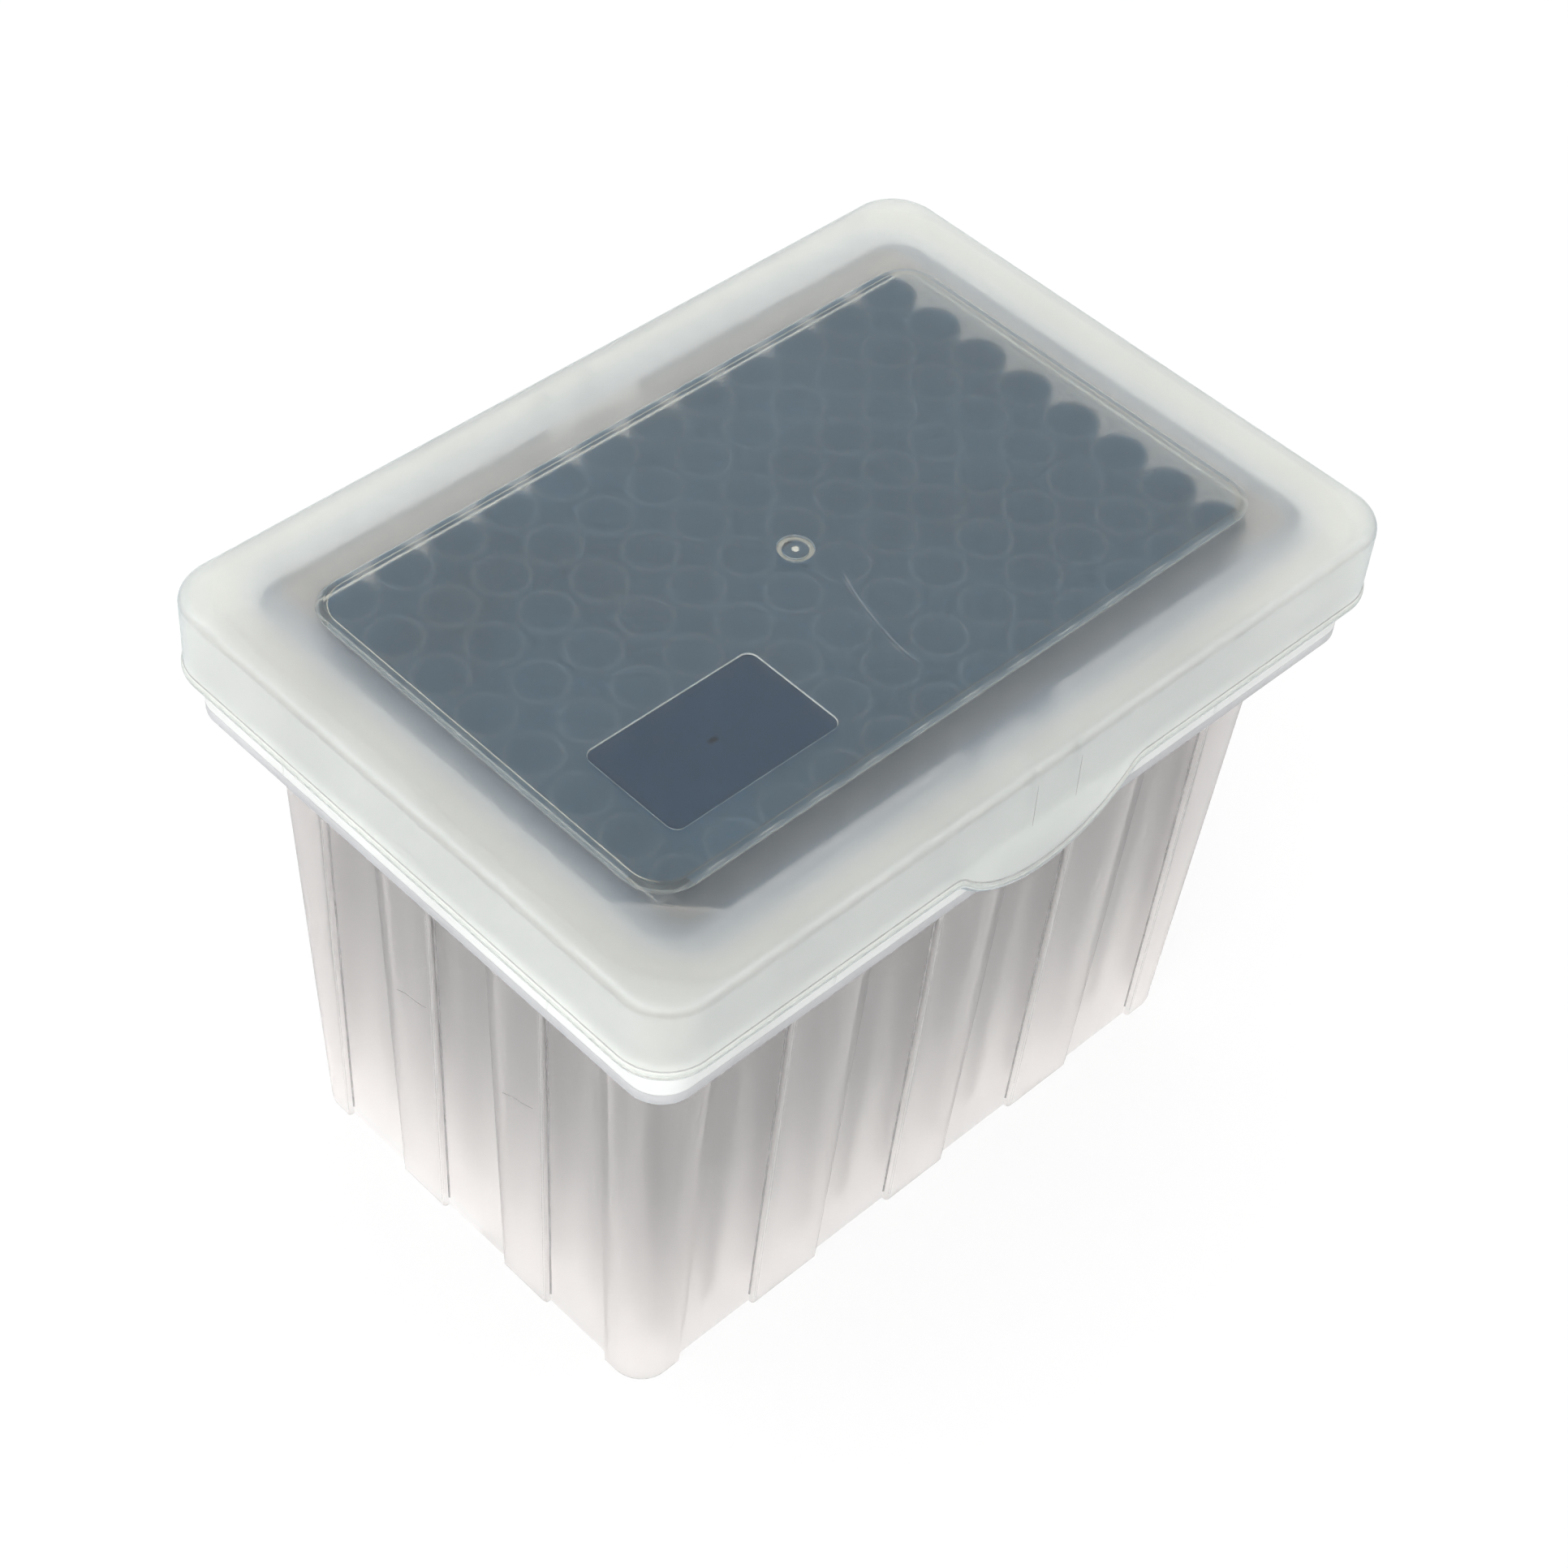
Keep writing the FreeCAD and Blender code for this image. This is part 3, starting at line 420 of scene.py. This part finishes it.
haze_tree = build_haze()
field_tree = build_field()
dress(["tub"], tub_plastic())
dress(["lid"], lid_plastic())
dress([name for name in NODES if name.startswith("tips_column")], tip_plastic())
dress(["rack_plate"], rack_plastic())

# Painted highlights on the label field's step and along the lid's bead.
highlight_and_whitening = edge_plastic("whitened polypropylene")
# Painted shade for creases, under the bead and behind the thumb tab; also the dark of the wall's scratches.
shade_and_scratch = crease_plastic()
# Painted highlight along the panel's top edge, faint on its near side.
panel_edge_highlight = edge_plastic("whitened panel edge", 0.9, (-0.0318, -0.0290), 0.35)
# Painted highlight along the ribs' outer edges.
rib_edge_highlight = edge_plastic("whitened rib edge", 0.14)
# Painted highlight along the panel's foot.
panel_foot_highlight = edge_plastic("whitened panel foot", 0.24)
ring_plastic = edge_plastic("whitened gate ring", 0.75, clear=0.35)
nub_plastic = edge_plastic("whitened gate nub", 1.0, clear=0.15)
# A painted lighter line where each gusset stands behind the rim.
painted_gusset_tick = edge_plastic("whitened gusset line", 0.24)
lid_bloom = frosting("frosted lid face", (0.935, 0.975, 0.950), lid_cover, (0.55, 0.74, 0.95))
rim_bloom = frosting("frosted rim face", (0.78, 0.80, 0.79), even_cover(25.0, 0.84, 0.03))
lip_bloom = frosting("frosted rim lip", (0.58, 0.60, 0.62), even_cover(25.0, 0.62, 0.02))
panel_bloom = frosting("hazed lid panel", (0.14, 0.54, 1.0), panel_cover)
slope_bloom = frosting("hazed panel slope", (0.26, 0.52, 0.74), even_cover(60.0, 0.10, 0.01))
label_bloom = frosting("hazed label field", (0.32, 0.62, 0.98), even_cover(38.0, 0.19, 0.01))
collar_bloom = frosting("frosted inner wall", (0.98, 0.965, 0.93), even_cover(30.0, 0.20, 0.03))


# ---------------------------------------------------------------- outlines and meshes, in mm
def rounded_outline(shape, grow=0.0, steps=12):
    """Points round a rounded rectangle grown by this much, each with its outward direction."""
    half, middle, corner = shape
    outline = []
    for turn, (sx, sy) in enumerate(((1, 1), (-1, 1), (-1, -1), (1, -1))):
        cx = middle[0] + sx * (half[0] - corner)
        cy = middle[1] + sy * (half[1] - corner)
        for step in range(steps + 1):
            angle = (turn + step / steps) * math.pi / 2
            nx, ny = math.cos(angle), math.sin(angle)
            outline.append((cx + (corner + grow) * nx, cy + (corner + grow) * ny, nx, ny))
    # On a full circle two quarters share the point where they meet, which is kept once.
    return [point for index, point in enumerate(outline)
            if math.dist(point[:2], outline[index - 1][:2]) > 0.0001]


def skirt_outline(shape, grow=0.0):
    """The lid's outline, with close points across the thumb tab."""
    outline = rounded_outline(shape, grow)
    start = next(index for index, point in enumerate(outline) if point[0] > 0 > point[1])
    across = [(0.5 * step - 20.0, -shape[0][1] - grow, 0.0, -1.0) for step in range(81)]
    return outline[:start] + across + outline[start:]


def tab_fall(x, y):
    """How far the lid's lower edge falls below its plain height there, which it does at the thumb tab."""
    far = math.sqrt((TAB_RADIUS + TAB_BLEND) ** 2 - (TAB_RADIUS + TAB_BLEND - TAB_DROP) ** 2)
    meet = far * TAB_RADIUS / (TAB_RADIUS + TAB_BLEND)
    x = abs(x)
    if y >= FRONT or x >= far:
        return 0.0
    if x >= meet:
        return TAB_BLEND - math.sqrt(TAB_BLEND ** 2 - (x - far) ** 2)
    return TAB_DROP - TAB_RADIUS + math.sqrt(TAB_RADIUS ** 2 - x ** 2)


def made_piece(name, points, faces, material, body, smooth=False):
    """A mesh piece with one material, riding on a body."""
    mesh = bpy.data.meshes.new(name)
    mesh.from_pydata([tuple(value / 1000 for value in point) for point in points], [], faces)
    mesh.validate()
    work = bmesh.new()
    work.from_mesh(mesh)
    bmesh.ops.recalc_face_normals(work, faces=work.faces)
    work.to_mesh(mesh)
    work.free()
    if smooth:
        mesh.shade_smooth()
    mesh.materials.append(material)
    piece = bpy.data.objects.new(name, mesh)
    scene.collection.objects.link(piece)
    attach(piece, body)


def lid_strip(name, outline, profile, material, follow=False):
    """A closed strip on the lid: the profile, in mm outward and up, carried round the outline.

    A strip on the skirt follows the tab's fall."""
    points = [(x + nx * out, y + ny * out, high - (tab_fall(x, y) if follow else 0.0))
              for x, y, nx, ny in outline for out, high in profile]
    count, side = len(outline), len(profile)
    faces = [(ring * side + k, (ring + 1) % count * side + k,
              (ring + 1) % count * side + (k + 1) % side, ring * side + (k + 1) % side)
             for ring in range(count) for k in range(side)]
    made_piece(name, points, faces, material, "lid")


def lofted_sheet(name, rings, material, body):
    """A smooth open sheet over closed rings of (x, y, z) points."""
    side = len(rings[0])
    points = [point for ring in rings for point in ring]
    faces = [(row * side + k, row * side + (k + 1) % side,
              (row + 1) * side + (k + 1) % side, (row + 1) * side + k)
             for row in range(len(rings) - 1) for k in range(side)]
    made_piece(name, points, faces, material, body, smooth=True)


def level_ring(outline, high):
    """An outline's points at one height."""
    return [(x, y, high) for x, y, nx, ny in outline]


def sliver(name, line, normal, width, depth, material, body):
    """A thin sliver, pointed at both ends, along a line of (x, y, z) points on a face with this normal."""
    points, faces = [], []
    last = len(line) - 1
    normal = Vector(normal).normalized()
    line = [Vector(point) for point in line]
    for index, point in enumerate(line):
        along = (line[min(index + 1, last)] - line[max(index - 1, 0)]).normalized()
        across = along.cross(normal).normalized()
        half = width * (0.2 + 0.8 * math.sin(math.pi * (0.08 + 0.84 * index / last))) / 2
        points += [point - across * half, point + across * half, point - normal * depth]
    for index in range(last):
        for k in range(3):
            more = (k + 1) % 3
            faces.append((index * 3 + k, index * 3 + 3 + k, index * 3 + 3 + more, index * 3 + more))
    faces.append((0, 1, 2))
    faces.append((last * 3, last * 3 + 1, last * 3 + 2))
    made_piece(name, points, faces, material, body)


# ---------------------------------------------------------------- thin pieces on the lid
lid_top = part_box("lid")[1][2] * 1000


def build_panel_lines():
    """Painted highlights along the crisp edge round the raised panel's top, along the soft one at its foot, and
    along the label field's step.
    """
    top = lid_top
    border = top - PANEL_RISE
    lid_strip("panel_top_edge", rounded_outline(PANEL_TOP, -0.14),
              [(0.0, top - 0.001), (0.09, top - 0.001), (0.12, top - 0.03), (0.12, top - 0.10),
               (0.0, top - 0.10)],
              panel_edge_highlight)
    lid_strip("panel_foot", rounded_outline(PANEL_FOOT),
              [(-0.22, border + 0.125), (0.04, border + 0.035), (0.26, border + 0.004), (0.26, border - 0.05),
               (-0.22, border - 0.05)],
              panel_foot_highlight)
    lid_strip("label_step", rounded_outline(LABEL, steps=6),
              [(0.02, top - 0.002), (0.02, top - 0.26), (-0.08, top - 0.247), (-0.02, top - 0.06)],
              highlight_and_whitening)


def lid_ring(shape, grow, high, share=0.0):
    """One ring round the lid, that takes this share of the tab's fall."""
    return [(x, y, high - share * tab_fall(x, y)) for x, y, nx, ny in skirt_outline(shape, grow)]


def lid_sheet(name, stand):
    """One sheet of frosting over the lid's border, round edge, skirt and bead, this far off the surface."""
    (inner, inner_corner), (outer, outer_corner) = BORDER_INNER, BORDER_OUTER
    rings = []
    for share in (0.0, 0.15, 0.3, 0.45, 0.6, 0.75, 0.9, 1.0):
        half = [near + share * (far - near) for near, far in zip(inner, outer)]
        corner = inner_corner + share * (outer_corner - inner_corner)
        rings.append(lid_ring((half, (0.0, 0.0), corner), 0.0, BORDER_TOP + stand))
    reach = LID_EDGE_RADIUS + stand
    for step in range(1, 7):
        angle = math.pi / 2 * (1 - step / 6)
        rings.append(lid_ring(SKIRT, reach * math.cos(angle) - LID_EDGE_RADIUS,
                              LID_EDGE_FOOT + reach * math.sin(angle)))
    for share, high in ((0.0, 99.2), (0.33, 96.7), (0.67, 94.2), (1.0, 92.1)):
        rings.append(lid_ring(SKIRT, stand, high, share))
    reach = BEAD_RADIUS + stand
    for step in range(6):
        angle = math.radians(40 - step * 13)
        out = min(reach * math.cos(angle) - BEAD_INSET, BEAD_REACH)
        rings.append(lid_ring(SKIRT, out, BEAD_HEIGHT + reach * math.sin(angle), 1.0))
    lofted_sheet(name, rings, lid_bloom, "lid")


def build_panel_haze():
    """The haze in the gate's hollow, on the panel round it, down the panel's side and on the label field."""
    level = lid_top - 0.03
    field = level_ring(rounded_outline(PANEL_TOP, -0.18), level)
    middle = [(x * 0.5, y * 0.5, high) for x, y, high in field]
    turns = [math.atan2(y, x) for x, y, high in field]

    def gate_circle(radius, high):
        return [(radius * math.cos(turn), radius * math.sin(turn), high) for turn in turns]

    disc = [gate_circle(radius, lid_top - GATE_DEPTH) for radius in (0.1, 2.6)]
    lofted_sheet("gate_haze", disc, label_bloom, "lid")
    rings = [gate_circle(2.62, level), middle, field]
    lofted_sheet("panel_haze", rings, panel_bloom, "lid")
    slope = [level_ring(rounded_outline(PANEL_TOP, 0.04), lid_top),
             level_ring(rounded_outline(PANEL_FOOT, 0.08), lid_top - 0.48)]
    lofted_sheet("panel_slope_haze", slope, slope_bloom, "lid")
    floor = lid_top - LABEL_DEPTH - 0.03
    field = level_ring(rounded_outline(LABEL, -0.1, 6), floor)
    mx, my = LABEL[1]
    middle = [(mx + (x - mx) * 0.05, my + (y - my) * 0.05, floor) for x, y, high in field]
    lofted_sheet("label_haze", [middle, field], label_bloom, "lid")


def build_gate():
    """The gate mark in the middle of the panel: a pale ring and a small broken nub."""
    top = lid_top
    lid_strip("gate_ring", rounded_outline(GATE_RING, steps=10),
              [(-0.36, top - 0.43), (0.36, top - 0.43), (0.36, top - 0.52), (-0.36, top - 0.52)],
              ring_plastic)
    sides = 9
    rings = ((0.52, -0.32), (0.50, -0.12), (0.33, -0.07), (0.14, -0.09))
    points = []
    for reach, high in rings:
        for step in range(sides):
            angle = step * math.tau / sides + reach
            uneven = 1.0 - 0.12 * (step % 3 == 1)
            points.append((reach * uneven * math.cos(angle), reach * uneven * math.sin(angle),
                           top + high - 0.03 * (step % 2)))
    faces = [(ring * sides + k, ring * sides + (k + 1) % sides,
              (ring + 1) * sides + (k + 1) % sides, (ring + 1) * sides + k)
             for ring in range(len(rings) - 1) for k in range(sides)]
    faces.append(tuple(range(sides)))
    faces.append(tuple(range(len(points) - sides, len(points))))
    made_piece("gate_nub", points, faces, nub_plastic, "lid")


def build_edge_lines():
    """Painted shade in the crease above the lid's bead, a painted highlight as a fine bright line on the bead,
    and painted shade under it.
    """
    outline = skirt_outline(SKIRT)
    lid_strip("bead_crease", outline,
              [(0.00, 91.82), (0.08, 91.82), (0.08, 92.05), (0.00, 92.05)], shade_and_scratch, follow=True)
    lid_strip("bead_line", outline,
              [(0.16, 91.35), (0.28, 91.28), (0.28, 91.44), (0.21, 91.58)], highlight_and_whitening, follow=True)
    lid_strip("bead_shade", outline,
              [(-0.30, 90.16), (0.06, 90.36), (0.16, 90.50), (0.10, 90.56), (-0.30, 90.30)], shade_and_scratch,
              follow=True)


def build_tab_lines():
    """Two fine lines of painted shade where the stiffening ribs stand behind the thumb tab."""
    for side, x in (("left", -4.1), ("right", 4.1)):
        line = [(x + 0.02 * step, -48.44, 100.2 - 0.85 * step) for step in range(10)]
        sliver("tab_line_" + side, line, (0, -1, 0), 0.16, 0.03, shade_and_scratch, "lid")


# ---------------------------------------------------------------- thin pieces on the tub
def build_rim_frosting():
    """The frosting on the tub's rim, and on the narrow lip along the rim's lower edge."""
    outline = rounded_outline(RIM, 0.04)
    for name, levels, bloom in (("rim_frosting", (84.45, 86.6, 88.8, 90.9), rim_bloom),
                                ("lip_frosting", (82.65, 83.5, 84.4), lip_bloom)):
        lofted_sheet(name, [level_ring(outline, high) for high in levels], bloom, "box")


def build_collar_frosting():
    """The frosting on the inside of the collar, on each side of the spring tongues."""
    bend, (bend_x, bend_y) = 4.47, (54.4, 34.4)
    arc = [(bend_x + bend * math.sin(math.radians(turn)), bend_y + bend * math.cos(math.radians(turn)))
           for turn in range(10, 90, 10)]
    leg = [(9.6, 38.87), (bend_x, 38.87)] + arc + [(58.87, bend_y), (58.87, 0.0)]
    levels = (91.7, 95.0, 98.3, 101.5)
    for side, turn in (("right", 1), ("left", -1)):
        path = [(turn * x, y) for x, y in leg] + [(turn * x, -y) for x, y in leg[-2::-1]]
        points = []
        for high in levels:
            inset = DRAFT * (COLLAR_TOP - high) + 0.05
            for x, y in path:
                in_x, in_y = abs(x) > COLLAR_SIDES[0], abs(y) > COLLAR_SIDES[1]
                points.append((x - math.copysign(inset, x) * in_x, y - math.copysign(inset, y) * in_y, high))
        count = len(path)
        faces = [(row * count + k, row * count + k + 1, (row + 1) * count + k + 1, (row + 1) * count + k)
                 for row in range(len(levels) - 1) for k in range(count - 1)]
        made_piece("collar_frosting_" + side, points, faces, collar_bloom, "box",
                   smooth=True)


def build_scratches():
    """Handling marks on the tub's short front wall."""
    face = WALL_FOOT["short"] + 0.02
    for name, line in WALL_SCRATCHES.items():
        line = [(-face - DRAFT * z, y, z) for y, z in line]
        sliver("wall_scratch_" + name, line, (-1, 0, -DRAFT), 0.16, 0.05, shade_and_scratch, "box")


def crease_profile(side, face, turn):
    """The section of the painted crease shade at the foot of a rib's side: points along the wall and outward.
    """
    base = face - RECESS
    return [(side, base - 0.02), (side + turn * 0.20, base - 0.02), (side + turn * 0.20, base + 0.03),
            (side + turn * 0.03, base + 0.20), (side, base + 0.20)]


def edge_profile(side, face, turn, round_edge):
    """The section of the painted highlight along a rib's outer edge, which is rounded by this radius."""
    bend = round_edge * 0.293    # from the sharp corner to the middle of the round, along each face
    section = [(side - turn * (bend + 0.16), face - bend + 0.15),
               (side - turn * (bend - 0.13), face - bend - 0.13),
               (side - turn * (bend + 0.05), face - bend - 0.05)]
    return [(along, min(out, face + 0.02)) for along, out in section]


def build_rib_lines():
    """The painted shade in the crease at the foot of each rib's side, and the painted highlight along its outer
    edge.
    """
    # Each rib's side: how far from the wall's middle it is at the floor, which way it faces, and the radius of
    # its outer edge.
    sides = {
        "long": ((5.8, 1, 0.6), (20.8, -1, 0.6), (33.4, 1, 0.6), (48.3, -1, 0.1)),
        "short": ((6.7, -1, 0.6), (15.9, 1, 0.6), (28.9, -1, 0.1)),
    }
    levels = (1.8, 15.0, 30.0, 45.0, 60.0, 75.0, 85.5)
    ribs = [(wall, sign, mirror, *rib) for sign in (1, -1) for wall in ("long", "short")
            for rib in sides[wall] for mirror in (1, -1)]
    for name, material in (("rib_creases", shade_and_scratch), ("rib_edges", rib_edge_highlight)):
        points, faces = [], []
        for wall, sign, mirror, rib, turn, round_edge in ribs:
            start = len(points)
            for high in levels:
                side = rib + turn * RIB_LEAN * high
                face = WALL_FOOT[wall] + DRAFT * high
                if name == "rib_creases":
                    section = crease_profile(side, face, turn)
                else:
                    section = edge_profile(side, face, turn, round_edge)
                for along, out in section:
                    along, out = mirror * along, sign * out
                    points.append((along, out, high) if wall == "long" else (out, along, high))
            size = len(section)
            for row in range(len(levels) - 1):
                low = start + row * size
                for k in range(size):
                    more = (k + 1) % size
                    faces.append((low + k, low + more, low + size + more, low + size + k))
            faces.append(tuple(range(start, start + size)))
            faces.append(tuple(range(len(points) - size, len(points))))
        made_piece(name, points, faces, material, "box")


def build_rim_ticks():
    """Where the gussets stand behind the rim, a short upright line on its wall is painted lighter."""
    levels = [84.5 + 0.55 * step for step in range(6)]
    for sign in (1, -1):
        for mirror in (1, -1):
            ends = "%d%d" % (sign + 1, mirror + 1)
            for name, x, y, normal in (("rim_tick_long_", mirror * 36.2, sign * 46.15, (0, sign, 0)),
                                       ("rim_tick_short_", sign * 65.75, mirror * 25.9, (sign, 0, 0))):
                sliver(name + ends, [(x, y, high) for high in levels], normal, 0.5, 0.04, painted_gusset_tick,
                       "box")


build_panel_lines()
lid_sheet("lid_frosting_inner", 0.04)
lid_sheet("lid_frosting_outer", 0.08)
build_rim_frosting()
build_panel_haze()
build_collar_frosting()
build_gate()
build_scratches()
build_rib_lines()
build_edge_lines()
build_tab_lines()
build_rim_ticks()

# ---------------------------------------------------------------- the studio
FLOOR_SHADE = 0.18           # how much of the white floor is lit surface, which shows the shadow
FLOOR_TONE = 0.82            # the floor's tone in the light it throws back onto the box
ROOM_STRENGTH = (0.9, 1.0)   # the white room as it lights the box, and as the eye sees it
SOFTBOXES = (                # name, place, size, power
    ("softbox above", (-0.1, 0.25, 1.1), (0.9, 0.7), 2.0),
    ("softbox left", (-1.0, -0.3, 0.4), (0.8, 0.6), 6.4),
    ("softbox front", (0.4, -1.0, 0.4), (0.8, 0.6), 0.9),
)
AIM = (0.0, 0.0, 0.05)       # the softboxes face the middle of the box
CAMERA_TURN, CAMERA_RISE, CAMERA_ROLL = -0.83793, 0.81629, -0.09651   # radians
CAMERA_LENS, CAMERA_SENSOR = 74.41, 36.0         # mm
BOX_SEEN_AT = (-5.32, -39.63, -503.15)           # mm: the box's origin, right, up and back from the camera


def build_floor():
    """A plain pale floor. To the eye it shows white, with the box's shadow kept."""
    bpy.ops.mesh.primitive_circle_add(vertices=96, radius=4.0, fill_type="NGON", location=(0, 0, 0))
    floor = bpy.context.object
    floor.name = "floor"
    material, graph, shader = new_material("studio floor")
    seen = graph.seen()
    graph.link(graph.mix(seen, FLOOR_TONE, FLOOR_SHADE), shader.inputs["Base Color"])
    shader.inputs["Roughness"].default_value = 0.9
    shader.inputs["Specular IOR Level"].default_value = 0.0
    shader.inputs["Emission Color"].default_value = (1, 1, 1, 1)
    graph.link(graph.math("MULTIPLY", seen, 1.0 - FLOOR_SHADE), shader.inputs["Emission Strength"])
    floor.data.materials.append(material)


def soft_lamp(name, place, size, power):
    """A rectangular softbox that faces the box."""
    lamp = bpy.data.lights.new(name, "AREA")
    lamp.shape = "RECTANGLE"
    lamp.size, lamp.size_y = size
    lamp.energy = power
    holder = bpy.data.objects.new(name, lamp)
    scene.collection.objects.link(holder)
    holder.location = place
    holder.rotation_mode = "QUATERNION"
    holder.rotation_quaternion = (Vector(AIM) - Vector(place)).to_track_quat("-Z", "Y")


def build_light():
    """An even white room, with softboxes above, to the left and in front."""
    world = bpy.data.worlds.new("studio")
    scene.world = world
    world.use_nodes = True
    graph = Graph(world.node_tree)
    back = world.node_tree.nodes["Background"]
    back.inputs["Color"].default_value = (1, 1, 1, 1)
    graph.link(graph.spread(graph.seen(), 0.0, 1.0, *ROOM_STRENGTH), back.inputs["Strength"])
    for softbox in SOFTBOXES:
        soft_lamp(*softbox)


def build_camera():
    """The camera looks down on the front left corner of the box."""
    turn, rise, roll = CAMERA_TURN, CAMERA_RISE, CAMERA_ROLL
    back = Vector((math.sin(turn) * math.cos(rise), -math.cos(turn) * math.cos(rise), math.sin(rise)))
    right = (-back).cross(Vector((0, 0, 1))).normalized()
    up = back.cross(right)
    side = right * math.cos(roll) - up * math.sin(roll)
    top = right * math.sin(roll) + up * math.cos(roll)
    data = bpy.data.cameras.new("camera")
    data.sensor_width = CAMERA_SENSOR
    data.lens = CAMERA_LENS
    camera = bpy.data.objects.new("camera", data)
    scene.collection.objects.link(camera)
    seen = Vector(BOX_SEEN_AT) / 1000
    place = -(side * seen.x + top * seen.y + back * seen.z)
    camera.matrix_world = Matrix.Translation(place) @ Matrix((side, top, back)).transposed().to_4x4()
    scene.camera = camera


build_floor()
build_light()
build_camera()
scene.view_settings.view_transform = "Standard"
